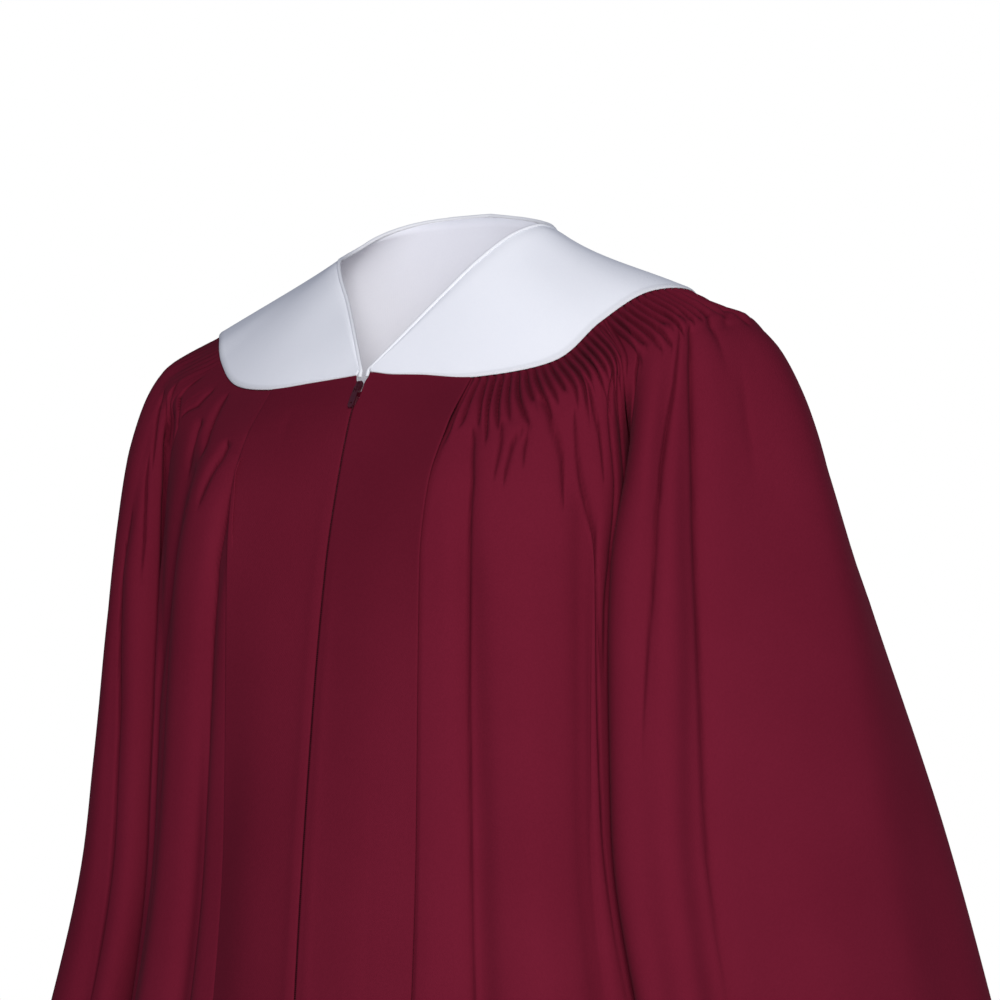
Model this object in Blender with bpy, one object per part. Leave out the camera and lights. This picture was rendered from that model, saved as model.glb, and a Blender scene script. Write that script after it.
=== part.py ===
"""Choir robe: white shoulder yoke, two flat front panels, fluted side fronts, back and bell sleeves, front zip.

Metres, +Z up, the front faces -Y, +X is the wearer's left. The origin lies midway between the two side-neck
points, where the robe rests on the wearer. Every cloth piece is a thin sheet over a smooth surface that runs
from a curve (the yoke's edge) down through sections given in short tables; flutes and folds lift it off that.
"""

import math

import bmesh
import bpy
import numpy as np
from mathutils import Vector
from mathutils.geometry import tessellate_polygon

# ---- driving sizes ------------------------------------------------------------------------------------------
CLOTH = 0.0014  # robe cloth
YOKE_CLOTH = 0.0013
FACING_CLOTH = 0.0012  # the lining under the yoke
SEAM = 0.00035  # clearance between neighbouring pieces
YOKE_SEAM = 0.0006  # the same along the yoke's curved edge, whose facets differ from its neighbours'
NECK_ROLL = 0.0014  # radius of the rolled neck edge
ROLL_LIFT = 0.0009  # the roll's middle above the neck curve
TIP_DROPS = (0.0050, 0.0025)  # how far the roll's front ends hang down into the V
PANEL_PROUD = 0.0015  # the flat panels' face above the gathered cloth's mean surface
FLUTE_HEIGHT = 0.0019  # half the height of a flute, valley to peak
FLUTES = {"side_front": 11, "sleeve": 22, "back": 18}  # back: each half
TAPE_CLOTH = 0.0007
TAPE_IN = 0.0016  # a tape's inner edge from the centre line
ZIP_END = -0.90  # below this height the two panels are sewn together
NOTCH_HIGH = 0.0052  # half the gap between the panels at the yoke, beside the slider, and along the teeth
NOTCH_LOW = 0.0034
ZIP_SLIT = 0.0012
NOTCH_Z = -0.1175  # heights where the gap starts to narrow, where the slider ends, and where only teeth are left
SLIDER_END_Z = -0.127
SLIT_Z = -0.135
SLIDER_LENGTH = 0.0088
SLIDER_WIDTH = 0.0052
SLIDER_THICK = 0.0021
SLIDER_Z = -0.1205  # height of the slider's middle
CROWN_WIDTH = 0.0013
PULL_LENGTH = 0.0180
PULL_WIDTH = 0.0046
PULL_THICK = 0.0008
PIN_RISE = 0.0010  # the pull's bar above the slider's face
COLOUR_ROBE = (0.118, 0.010, 0.024, 1.0)
COLOUR_PANEL = (0.108, 0.009, 0.022, 1.0)
COLOUR_YOKE = (0.86, 0.87, 0.90, 1.0)
COLOUR_FACING = (0.70, 0.70, 0.74, 1.0)
COLOUR_EDGE = (0.88, 0.88, 0.91, 1.0)
COLOUR_ZIP = (0.095, 0.012, 0.026, 1.0)

# The seams that meet the yoke, as shares of half the yoke's edge (0 centre front, 1 centre back).
AT_PANEL = 0.19
AT_ARM_FRONT = 0.41
AT_ARM_BACK = 0.745

UNDERARM = 0.10  # share down the body where the side seam begins
SEAM_BLEND = 0.12  # share across over which normals turn to agree with the next piece's
YOKE_BLEND = 0.05  # share down over which they turn from the yoke's
YOKE_SAG = {1: 0.0040, -1: 0.0010}  # dip between neck and shoulder, by side
YOKE_FRONT = 0.03  # where the yoke's own cloth begins beside the bottom of the V

# ---- the yoke, a row a station: neck x, y, z, then edge x, y, z; x is measured outward on either side ----------
YOKE = {
    1: (
        (0.0030, -0.1010, -0.1080, 0.0030, -0.1030, -0.1110),
        (0.0212, -0.0833, -0.0815, 0.0450, -0.0990, -0.1138),
        (0.0412, -0.0632, -0.0520, 0.0900, -0.0930, -0.1177),
        (0.0590, -0.0470, -0.0280, 0.1400, -0.0710, -0.1074),
        (0.0745, -0.0290, -0.0090, 0.1640, -0.0510, -0.0803),
        (0.0840, -0.0100, 0.0005, 0.1870, -0.0283, -0.0589),
        (0.0860, 0.0060, 0.0015, 0.2020, 0.0040, -0.0535),
        (0.0775, 0.0270, 0.0030, 0.1890, 0.0420, -0.0610),
        (0.0590, 0.0460, 0.0122, 0.1650, 0.0720, -0.0830),
        (0.0330, 0.0560, 0.0200, 0.1000, 0.0930, -0.1030),
        (0.0000, 0.0600, 0.0265, 0.0000, 0.1020, -0.1080),
    ),
    -1: (
        (0.0030, -0.1010, -0.1080, 0.0030, -0.1030, -0.1110),
        (0.0212, -0.0833, -0.0790, 0.0450, -0.0990, -0.1130),
        (0.0412, -0.0632, -0.0515, 0.0900, -0.0930, -0.1141),
        (0.0590, -0.0470, -0.0300, 0.1295, -0.0785, -0.1062),
        (0.0725, -0.0300, -0.0150, 0.1597, -0.0545, -0.0855),
        (0.0815, -0.0100, -0.0078, 0.1795, -0.0310, -0.0655),
        (0.0840, 0.0090, 0.0002, 0.2020, 0.0050, -0.0540),
        (0.0760, 0.0290, 0.0132, 0.1940, 0.0420, -0.0610),
        (0.0590, 0.0460, 0.0225, 0.1650, 0.0720, -0.0830),
        (0.0330, 0.0560, 0.0262, 0.1000, 0.0930, -0.1030),
        (0.0000, 0.0600, 0.0265, 0.0000, 0.1020, -0.1080),
    ),
}

# ---- sections of the cloth below the yoke: a row a level, a point (x, y, z) a column -----------------------------
BODY_LEVELS = (0.0, 0.040, 0.085, 0.128, 0.275, 0.495, 0.738, 1.0)
SLEEVE_LEVELS = (0.0, 0.095, 0.230, 0.360, 0.672, 1.0)
# centre, middle, panel edge
FRONT_PANEL = (
    ((0.001, -0.1170, -0.138), (0.045, -0.120, -0.147), (0.0865, -0.126, -0.155)),
    ((0.001, -0.1360, -0.198), (0.045, -0.142, -0.198), (0.0840, -0.146, -0.198)),
    ((0.001, -0.1480, -0.250), (0.045, -0.152, -0.250), (0.0820, -0.153, -0.250)),
    ((0.001, -0.1715, -0.430), (0.045, -0.168, -0.430), (0.0810, -0.155, -0.430)),
    ((0.001, -0.1950, -0.700), (0.050, -0.192, -0.700), (0.0870, -0.180, -0.700)),
    ((0.001, -0.2250, -1.000), (0.055, -0.222, -1.000), (0.0930, -0.208, -1.000)),
    ((0.001, -0.2600, -1.320), (0.060, -0.256, -1.320), (0.1000, -0.240, -1.320)),
)
# panel edge, three across the breast, the crease's edge, armhole seam then side seam
SIDE_FRONT = (
    (
        (0.0865, -0.126, -0.155),
        (0.115, -0.119, -0.153),
        (0.144, -0.104, -0.144),
        (0.171, -0.088, -0.131),
        (0.184, -0.0790, -0.123),
        (0.1945, -0.0700, -0.1165),
    ),
    (
        (0.0840, -0.146, -0.198),
        (0.119, -0.137, -0.198),
        (0.150, -0.119, -0.198),
        (0.177, -0.098, -0.198),
        (0.192, -0.075, -0.198),
        (0.1820, -0.035, -0.185),
    ),
    (
        (0.0820, -0.153, -0.250),
        (0.119, -0.143, -0.250),
        (0.152, -0.124, -0.250),
        (0.178, -0.101, -0.250),
        (0.190, -0.080, -0.250),
        (0.1780, 0.0075, -0.250),
    ),
    (
        (0.0810, -0.155, -0.430),
        (0.120, -0.146, -0.430),
        (0.154, -0.130, -0.430),
        (0.181, -0.109, -0.430),
        (0.194, -0.086, -0.430),
        (0.1920, 0.0075, -0.430),
    ),
    (
        (0.0870, -0.180, -0.700),
        (0.140, -0.168, -0.700),
        (0.187, -0.147, -0.700),
        (0.222, -0.116, -0.700),
        (0.240, -0.080, -0.700),
        (0.2430, 0.0075, -0.700),
    ),
    (
        (0.0930, -0.208, -1.000),
        (0.160, -0.193, -1.000),
        (0.220, -0.165, -1.000),
        (0.262, -0.126, -1.000),
        (0.285, -0.078, -1.000),
        (0.2900, 0.0075, -1.000),
    ),
    (
        (0.1000, -0.240, -1.320),
        (0.178, -0.220, -1.320),
        (0.248, -0.185, -1.320),
        (0.298, -0.135, -1.320),
        (0.325, -0.076, -1.320),
        (0.3320, 0.0075, -1.320),
    ),
)
# armhole seam then side seam, back of the arm, three across the back, centre back
BACK = (
    (
        (0.1935, 0.0800, -0.1165),
        (0.181, 0.0940, -0.1235),
        (0.165, 0.105, -0.130),
        (0.115, 0.118, -0.145),
        (0.060, 0.124, -0.150),
        (0.000, 0.126, -0.152),
    ),
    (
        (0.1820, 0.050, -0.185),
        (0.190, 0.098, -0.198),
        (0.165, 0.122, -0.198),
        (0.115, 0.137, -0.198),
        (0.060, 0.144, -0.198),
        (0.000, 0.146, -0.198),
    ),
    (
        (0.1780, 0.0075, -0.250),
        (0.190, 0.100, -0.250),
        (0.165, 0.128, -0.250),
        (0.115, 0.144, -0.250),
        (0.060, 0.152, -0.250),
        (0.000, 0.154, -0.250),
    ),
    (
        (0.1920, 0.0075, -0.430),
        (0.196, 0.105, -0.430),
        (0.170, 0.138, -0.430),
        (0.118, 0.156, -0.430),
        (0.060, 0.165, -0.430),
        (0.000, 0.168, -0.430),
    ),
    (
        (0.2430, 0.0075, -0.700),
        (0.240, 0.110, -0.700),
        (0.200, 0.155, -0.700),
        (0.138, 0.180, -0.700),
        (0.070, 0.192, -0.700),
        (0.000, 0.196, -0.700),
    ),
    (
        (0.2900, 0.0075, -1.000),
        (0.282, 0.115, -1.000),
        (0.235, 0.170, -1.000),
        (0.160, 0.205, -1.000),
        (0.082, 0.222, -1.000),
        (0.000, 0.228, -1.000),
    ),
    (
        (0.3320, 0.0075, -1.320),
        (0.320, 0.125, -1.320),
        (0.265, 0.190, -1.320),
        (0.180, 0.235, -1.320),
        (0.092, 0.255, -1.320),
        (0.000, 0.262, -1.320),
    ),
)
# front seam, front turn, front ridge, front outer, outer, back outer, back ridge, back turn, back seam
SLEEVE_TOP = {
    1: (
        (0.1955, -0.0698, -0.1158),
        (0.206, -0.0665, -0.109),
        (0.218, -0.060, -0.100),
        (0.234, -0.040, -0.086),
        (0.250, 0.012, -0.0785),
        (0.236, 0.061, -0.0895),
        (0.214, 0.074, -0.098),
        (0.205, 0.0775, -0.1065),
        (0.1945, 0.0795, -0.1158),
    ),
    -1: (
        (0.1955, -0.0698, -0.1158),
        (0.205, -0.0660, -0.108),
        (0.214, -0.060, -0.100),
        (0.226, -0.043, -0.084),
        (0.236, 0.006, -0.073),
        (0.226, 0.056, -0.086),
        (0.210, 0.072, -0.098),
        (0.205, 0.0775, -0.1065),
        (0.1945, 0.0795, -0.1158),
    ),
}
SLEEVE = (
    (
        (0.183, -0.035, -0.185),
        (0.200, -0.074, -0.185),
        (0.222, -0.084, -0.180),
        (0.250, -0.055, -0.165),
        (0.290, 0.016, -0.150),
        (0.267, 0.076, -0.160),
        (0.228, 0.102, -0.175),
        (0.203, 0.100, -0.185),
        (0.183, 0.050, -0.185),
    ),
    (
        (0.1795, 0.0075, -0.252),
        (0.197, -0.082, -0.250),
        (0.230, -0.092, -0.250),
        (0.258, -0.059, -0.250),
        (0.308, 0.026, -0.240),
        (0.287, 0.092, -0.245),
        (0.240, 0.122, -0.250),
        (0.206, 0.110, -0.250),
        (0.1795, 0.0075, -0.252),
    ),
    (
        (0.204, 0.0075, -0.430),
        (0.201, -0.089, -0.430),
        (0.238, -0.099, -0.430),
        (0.273, -0.060, -0.430),
        (0.341, 0.035, -0.430),
        (0.337, 0.121, -0.430),
        (0.275, 0.155, -0.430),
        (0.215, 0.125, -0.430),
        (0.204, 0.0075, -0.430),
    ),
    (
        (0.240, 0.0075, -0.620),
        (0.236, -0.092, -0.620),
        (0.272, -0.107, -0.620),
        (0.316, -0.068, -0.620),
        (0.382, 0.040, -0.620),
        (0.380, 0.140, -0.620),
        (0.310, 0.182, -0.620),
        (0.245, 0.145, -0.620),
        (0.240, 0.0075, -0.620),
    ),
)

# ---- folds: half width across the piece, then (share down, share across, height in mm) down its length -----------
FOLDS = {
    ("side_front", 1): (
        (0.055, ((0.05, 0.13, -2), (0.13, 0.18, -6), (0.28, 0.22, -7), (1.0, 0.22, -12))),
        (0.110, ((0.06, 0.34, 1), (0.13, 0.38, 4), (0.28, 0.42, 5), (1.0, 0.42, 12))),
        (0.070, ((0.05, 0.50, -1), (0.10, 0.62, -5), (0.28, 0.66, -5), (1.0, 0.62, -12))),
        (0.060, ((0.12, 0.06, 0), (0.40, 0.05, 3), (1.0, 0.06, 8))),
        (0.070, ((0.30, 0.84, 0), (0.60, 0.82, 4), (1.0, 0.80, 9))),
    ),
    ("side_front", -1): (
        (0.055, ((0.05, 0.01, -1), (0.10, 0.05, -5), (0.15, 0.11, -6), (0.28, 0.17, -7), (1.0, 0.24, -12))),
        (0.090, ((0.06, 0.22, 2), (0.13, 0.28, 4), (0.28, 0.35, 5), (1.0, 0.43, 12))),
        (0.070, ((0.07, 0.40, -4), (0.13, 0.48, -6), (0.20, 0.62, -5), (1.0, 0.62, -11))),
        (0.060, ((0.30, 0.06, 0), (0.60, 0.08, 3), (1.0, 0.07, 7))),
        (0.070, ((0.30, 0.84, 0), (0.60, 0.83, 4), (1.0, 0.80, 9))),
    ),
    ("sleeve", 1): (
        (0.030, ((0.10, 0.30, -2), (0.20, 0.30, -5), (0.40, 0.24, -5), (0.55, 0.22, -1), (1.0, 0.21, -4))),
        (0.030, ((0.08, 0.36, -2), (0.20, 0.36, -6), (0.46, 0.35, -6), (0.70, 0.33, -6), (1.0, 0.32, -9))),
        (0.035, ((0.10, 0.43, -2), (0.30, 0.43, -3), (0.40, 0.43, 0), (1.0, 0.43, 7))),
        (0.050, ((0.20, 0.57, 0), (0.60, 0.55, -4), (1.0, 0.54, -9))),
        (0.060, ((0.20, 0.66, 2), (0.60, 0.67, 4), (1.0, 0.68, 9))),
        (0.050, ((0.15, 0.77, -2), (0.45, 0.78, -6), (1.0, 0.79, -8))),
    ),
    ("sleeve", -1): (
        (0.040, ((0.10, 0.20, -1), (0.33, 0.26, -4), (0.51, 0.22, -5), (0.67, 0.21, -5), (1.0, 0.21, -8))),
        (0.050, ((0.10, 0.34, 0), (0.45, 0.34, 3), (1.0, 0.33, 7))),
        (0.040, ((0.10, 0.45, -2), (0.30, 0.45, -4), (0.60, 0.46, -3), (1.0, 0.46, -7))),
        (0.060, ((0.20, 0.60, 1), (0.60, 0.60, 4), (1.0, 0.59, 8))),
        (0.045, ((0.12, 0.71, -2), (0.40, 0.72, -5), (1.0, 0.73, -9))),
        (0.050, ((0.20, 0.83, 0), (0.60, 0.83, 3), (1.0, 0.83, 5))),
    ),
    ("back", 1): (
        (0.060, ((0.04, 0.34, -1), (0.13, 0.36, -5), (0.28, 0.36, -7), (1.0, 0.35, -14))),
        (0.070, ((0.05, 0.52, 1), (0.15, 0.52, 4), (0.40, 0.52, 6), (1.0, 0.51, 13))),
        (0.055, ((0.04, 0.68, -2), (0.13, 0.67, -5), (0.40, 0.67, -7), (1.0, 0.67, -13))),
        (0.080, ((0.05, 0.88, 1), (0.20, 0.88, 3), (0.50, 0.86, 5), (1.0, 0.85, 12))),
        (0.060, ((0.25, 0.17, 0), (0.50, 0.18, 4), (1.0, 0.18, 10))),
    ),
    ("back", -1): (
        (0.055, ((0.04, 0.42, -1), (0.13, 0.43, -6), (0.28, 0.43, -8), (1.0, 0.44, -14))),
        (0.065, ((0.05, 0.57, 1), (0.15, 0.58, 4), (0.40, 0.58, 5), (1.0, 0.60, 12))),
        (0.060, ((0.04, 0.75, -1), (0.13, 0.76, -4), (0.40, 0.76, -6), (1.0, 0.76, -13))),
        (0.080, ((0.05, 0.93, 0), (0.30, 0.93, 2), (0.60, 0.92, 4), (1.0, 0.92, 9))),
        (0.070, ((0.15, 0.25, 1), (0.40, 0.26, 4), (1.0, 0.26, 12))),
    ),
}

# ---- rows and columns of facets ------------------------------------------------------------------------------
YOKE_ROWS = (0.0, 0.33, 0.67, 1.0)  # share of the way from neck to edge
PANEL_ROWS = (0.0, 0.012, 0.025, 0.045, 0.085, 0.128, 0.19, 0.275, 0.38, 0.50, 0.64, 0.82, 1.0)
PANEL_COLUMNS = (0.0, 0.06, 0.145, 0.40, 0.70, 1.0)  # the third is the tape's outer edge
PANEL_TOP_COLUMNS = (0.0, 0.06, 0.145, 0.27, 0.40, 0.55, 0.70, 0.85, 1.0)
TAPE_ROWS = (0.012, 0.64)  # first and last of the panel's rows that the zip runs along
BODY_FLUTE_ROWS = ((0.0, 1.0), (0.014, 1.0), (0.030, 0.7))  # share down, share of the flutes' height
BODY_ROWS = (0.046, 0.065, 0.090, 0.128, 0.170, 0.220, 0.275, 0.370, 0.500, 0.660, 0.830, 1.0)
SLEEVE_FLUTE_ROWS = ((0.0, 1.0), (0.035, 1.0), (0.075, 0.6))
SLEEVE_ROWS = (0.110, 0.160, 0.230, 0.300, 0.380, 0.500, 0.660, 0.830, 1.0)
COLUMNS = {
    "side_front": (0, 0.06, 0.12, 0.18, 0.24, 0.32, 0.41, 0.50, 0.57, 0.63, 0.69, 0.76, 0.82, 0.88, 0.94, 1),
    "sleeve": (
        (0, 0.06, 0.11, 0.15, 0.19, 0.23, 0.27, 0.30, 0.33, 0.36, 0.40, 0.45, 0.51, 0.58, 0.65, 0.72)
        + (0.79, 0.86, 0.91, 0.955, 1)
    ),
    "back": (0, 0.06, 0.12, 0.18, 0.26, 0.34, 0.42, 0.50, 0.58, 0.67, 0.76, 0.85, 0.93, 1),
}


# ---- curves and surfaces ---------------------------------------------------------------------------------------
def through(points, share):
    """A smooth curve through evenly spaced points; share runs 0 to 1 along it."""
    p = np.asarray(points, float)
    last = len(p) - 1
    t = np.clip(np.atleast_1d(np.asarray(share, float)), 0, 1) * last
    i = np.minimum(t.astype(int), last - 1)
    f = (t - i)[:, None]
    m = np.empty_like(p)
    m[1:-1] = (p[2:] - p[:-2]) / 2
    m[0] = p[1] - p[0]
    m[-1] = p[-1] - p[-2]
    start = p[i] * (1 + 2 * f) * (1 - f) ** 2 + m[i] * f * (1 - f) ** 2
    end = p[i + 1] * f * f * (3 - 2 * f) + m[i + 1] * f * f * (f - 1)
    return start + end


def unit(vectors):
    """Vectors scaled to length one."""
    length = np.linalg.norm(vectors, axis=-1, keepdims=True)
    return vectors / np.maximum(length, 1e-12)


def mirrored(points, side):
    """Points of the wearer's left half carried to the asked side."""
    return np.asarray(points) * (side, 1, 1)


def yoke_lines(side, share):
    """Neck curve and edge curve of one half at the given shares."""
    table = np.array(YOKE[side])
    return mirrored(through(table[:, :3], share), side), mirrored(through(table[:, 3:], share), side)


def yoke_frame(side, share):
    """Neck, edge, outward direction and upward normal of the yoke at each share."""
    neck, edge = yoke_lines(side, share)
    out = unit(edge - neck)
    _, ahead = yoke_lines(side, np.asarray(share) + 0.01)
    _, behind = yoke_lines(side, np.asarray(share) - 0.01)
    normal = unit(np.cross(out, ahead - behind)) * side
    return neck, edge, out, normal


def sections_of(piece, side):
    """The piece's tables on one side, its levels, and where its top runs along the yoke's edge."""
    if piece == "front_panel":
        return FRONT_PANEL, BODY_LEVELS, 0.0, AT_PANEL
    if piece == "side_front":
        return SIDE_FRONT, BODY_LEVELS, AT_PANEL, AT_ARM_FRONT
    if piece == "back":
        return BACK, BODY_LEVELS, AT_ARM_BACK, 1.0
    return (SLEEVE_TOP[side],) + SLEEVE, SLEEVE_LEVELS, AT_ARM_FRONT, AT_ARM_BACK


def blended_slope(first, second, before, after):
    """The slope at a level between two steps, level where they turn back, so that no curve runs past its points."""
    one = 2 * after + before
    two = after + 2 * before
    same = first * second > 1e-12
    safe_first = np.where(same, first, 1.0)
    safe_second = np.where(same, second, 1.0)
    return np.where(same, (one + two) / (one / safe_first + two / safe_second), 0.0)


def surface(piece, side, u, v):
    """Points of a piece's smooth surface, rows down (v) by columns across (u)."""
    tables, levels, start, end = sections_of(piece, side)
    share = start + (end - start) * np.clip(u, 0, 1)
    _, edge, out, _ = yoke_frame(side, share)
    lines = [edge + out * YOKE_SEAM]
    for row in tables:
        lines.append(mirrored(through(row, u), side))
    lines = np.array(lines)
    k = np.array(levels)
    slope = np.empty_like(lines)
    step = (lines[1:] - lines[:-1]) / np.diff(k)[:, None, None]
    slope[0] = step[0]
    slope[-1] = step[-1]
    for i in range(1, len(k) - 1):
        slope[i] = blended_slope(step[i - 1], step[i], k[i] - k[i - 1], k[i + 1] - k[i])
    points = []
    for share_down in np.clip(v, 0, 1):
        i = min(int(np.searchsorted(k, share_down, "right")) - 1, len(k) - 2)
        h = k[i + 1] - k[i]
        f = (share_down - k[i]) / h
        row = lines[i] * (1 + 2 * f) * (1 - f) ** 2 + slope[i] * h * f * (1 - f) ** 2
        row = row + lines[i + 1] * f * f * (3 - 2 * f) + slope[i + 1] * h * f * f * (f - 1)
        points.append(row)
    return np.array(points)


def raw_normal(piece, side, u, v):
    """Outward normals of the smooth surface."""
    u = np.asarray(u, float)
    v = np.asarray(v, float)
    du = surface(piece, side, np.minimum(u + 0.006, 1), v) - surface(piece, side, np.maximum(u - 0.006, 0), v)
    dv = surface(piece, side, u, np.minimum(v + 0.003, 1)) - surface(piece, side, u, np.maximum(v - 0.003, 0))
    return unit(np.cross(dv, du)) * side


def smooth(x):
    """An eased step from 0 to 1."""
    x = np.clip(x, 0, 1)
    return x * x * (3 - 2 * x)


# Which piece meets each end column, at which of its columns, and whether only below the underarm.
NEIGHBOURS = {
    "front_panel": {1: ("side_front", 0.0, False)},
    "side_front": {0: ("front_panel", 1.0, False), 1: ("back", 0.0, True)},
    "back": {0: ("side_front", 1.0, True)},
    "sleeve": {},
}


def normals(piece, side, u, v):
    """Outward normals that agree with the neighbouring piece along a shared seam and with the yoke at the top."""
    u = np.asarray(u, float)
    v = np.asarray(v, float)
    own = raw_normal(piece, side, u, v)
    for end, (other, other_u, below_underarm) in NEIGHBOURS[piece].items():
        mine = raw_normal(piece, side, np.array([float(end)]), v)
        theirs = raw_normal(other, side, np.array([other_u]), v)
        shared = unit(mine + theirs)
        near = 1 - smooth(np.abs(u - end) / SEAM_BLEND)
        low = smooth((v - UNDERARM) / 0.05) if below_underarm else np.ones(len(v))
        weight = low[:, None, None] * near[None, :, None]
        own = unit(own * (1 - weight) + shared * weight)
    _, _, start, stop = sections_of(piece, side)
    _, _, _, top = yoke_frame(side, start + (stop - start) * u)
    weight = (1 - smooth(v / YOKE_BLEND))[:, None, None]
    return unit(own * (1 - weight) + top[None] * weight)


def fold_height(piece, side, u, v):
    """Height of the large folds above the smooth surface, rows by columns."""
    height = np.zeros((len(v), len(u)))
    for half_width, path in FOLDS.get((piece, side), ()):
        table = np.array(path, float)
        centre = np.interp(v, table[:, 0], table[:, 1])
        depth = np.interp(v, table[:, 0], table[:, 2]) * (v >= table[0, 0] - 0.03) / 1000
        across = (np.asarray(u)[None, :] - centre[:, None]) / half_width
        height = height + depth[:, None] * np.exp(-across * across)
    edge = smooth(np.asarray(u) / 0.05) * smooth((1 - np.asarray(u)) / 0.05)
    if piece == "back":
        edge = smooth(np.asarray(u) / 0.05)
    return height * edge[None, :]


# ---- meshes ----------------------------------------------------------------------------------------------------
def add_object(name, vertices, faces, colour, rough):
    """A named object with its own material, its faces all turned outward."""
    mesh = bpy.data.meshes.new(name)
    mesh.from_pydata([tuple(map(float, p)) for p in vertices], [], [tuple(map(int, f)) for f in faces])
    mesh.update()
    work = bmesh.new()
    work.from_mesh(mesh)
    bmesh.ops.remove_doubles(work, verts=work.verts, dist=0.000001)
    bmesh.ops.recalc_face_normals(work, faces=work.faces)
    work.to_mesh(mesh)
    work.free()
    obj = bpy.data.objects.new(name, mesh)
    bpy.context.collection.objects.link(obj)
    paint(obj, colour, rough)
    return obj


def paint(obj, colour, rough):
    """Give an object its own plain material."""
    material = bpy.data.materials.new(obj.name)
    material.use_nodes = True
    shader = material.node_tree.nodes["Principled BSDF"]
    shader.inputs["Base Color"].default_value = colour
    shader.inputs["Roughness"].default_value = rough
    obj.data.materials.clear()
    obj.data.materials.append(material)


def strip(top, low, top_u, low_u):
    """Triangles between two rows of vertices that may have different columns."""
    faces = []
    a = 0
    b = 0
    while a < len(top) - 1 or b < len(low) - 1:
        next_top = top_u[a + 1] if a < len(top) - 1 else 9.0
        next_low = low_u[b + 1] if b < len(low) - 1 else 9.0
        if next_top <= next_low:
            faces.append((top[a], low[b], top[a + 1]))
            a += 1
        else:
            faces.append((top[a], low[b], low[b + 1]))
            b += 1
    return faces


def shell(name, rows, colour, rough):
    """One closed sheet from rows of (columns, outer points, inner points)."""
    vertices = []
    outer = []
    inner = []
    for columns, out_points, in_points in rows:
        outer.append(list(range(len(vertices), len(vertices) + len(out_points))))
        vertices.extend(out_points)
        inner.append(list(range(len(vertices), len(vertices) + len(in_points))))
        vertices.extend(in_points)
    faces = []
    for i in range(len(rows) - 1):
        faces += strip(outer[i], outer[i + 1], rows[i][0], rows[i + 1][0])
        faces += [f[::-1] for f in strip(inner[i], inner[i + 1], rows[i][0], rows[i + 1][0])]
        for j in (0, -1):
            faces.append((outer[i][j], inner[i][j], inner[i + 1][j]))
            faces.append((outer[i][j], inner[i + 1][j], outer[i + 1][j]))
    for i in (0, -1):
        for j in range(len(outer[i]) - 1):
            faces.append((outer[i][j], outer[i][j + 1], inner[i][j + 1]))
            faces.append((outer[i][j], inner[i][j + 1], inner[i][j]))
    return add_object(name, vertices, faces, colour, rough)


def inset(points, u):
    """Draw the two side edges of a sheet in by half a seam's clearance."""
    moved = points.copy()
    if u[0] == 0:
        moved[:, 0] += unit(points[:, 1] - points[:, 0]) * SEAM / 2
    if u[-1] == 1:
        moved[:, -1] += unit(points[:, -2] - points[:, -1]) * SEAM / 2
    return moved


def sheet_row(piece, side, u, v, lift, thick, flute):
    """One row of a sheet: columns, outer points and inner points."""
    base = inset(surface(piece, side, u, np.array([v])), u)[0]
    normal = normals(piece, side, u, np.array([v]))[0]
    height = fold_height(piece, side, u, np.array([v]))[0] + lift
    if flute:
        wave = np.where(np.arange(len(u)) % 2 == 0, -1.0, 1.0)
        wave[0] = 0
        wave[-1] = -1.0 if piece == "back" else 0.0
        height = height + wave * flute * FLUTE_HEIGHT
    return [u, base + normal * height[:, None], base + normal * (height - thick)[:, None]]


def fluted_rows(piece, side, flute_rows, rows):
    """All rows of a fluted piece, many columns in the flutes and few below."""
    fine = np.linspace(0, 1, 2 * FLUTES[piece] + 1)
    coarse = np.array(COLUMNS[piece], float)
    made = []
    for v, share in flute_rows:
        made.append(sheet_row(piece, side, fine, v, 0.0, CLOTH, share))
    for v in rows:
        made.append(sheet_row(piece, side, coarse, v, 0.0, CLOTH, 0.0))
    return made


def side_name(side):
    return "left" if side == 1 else "right"


def make_gathered_pieces():
    """Side fronts and sleeves, a pair each, and the back in one."""
    for side in (1, -1):
        rows = fluted_rows("side_front", side, BODY_FLUTE_ROWS, BODY_ROWS)
        shell("side_front_" + side_name(side), rows, COLOUR_ROBE, 0.85)
        rows = fluted_rows("sleeve", side, SLEEVE_FLUTE_ROWS, SLEEVE_ROWS)
        shell("sleeve_" + side_name(side), rows, COLOUR_ROBE, 0.85)
    left = fluted_rows("back", 1, BODY_FLUTE_ROWS, BODY_ROWS)
    right = fluted_rows("back", -1, BODY_FLUTE_ROWS, BODY_ROWS)
    joined = []
    for a, b in zip(left, right):
        middle_out = (a[1][-1] + b[1][-1]) / 2
        middle_in = (a[2][-1] + b[2][-1]) / 2
        columns = np.concatenate([a[0][:-1] / 2, [0.5], 1 - b[0][:-1][::-1] / 2])
        out_points = np.concatenate([a[1][:-1], [middle_out], b[1][:-1][::-1]])
        in_points = np.concatenate([a[2][:-1], [middle_in], b[2][:-1][::-1]])
        joined.append([columns, out_points, in_points])
    shell("back", joined, COLOUR_ROBE, 0.85)


def half_gap(z):
    """How far a front panel's edge stays from the centre line: a small V, then the slider, then nearly closed."""
    v_notch = NOTCH_LOW + (NOTCH_HIGH - NOTCH_LOW) * smooth((z - NOTCH_Z) / 0.006)
    slit = ZIP_SLIT + (NOTCH_LOW - ZIP_SLIT) * smooth((z - SLIT_Z) / 0.008)
    return np.where(z > SLIDER_END_Z, v_notch, np.where(z > ZIP_END, slit, SEAM / 2))


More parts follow.
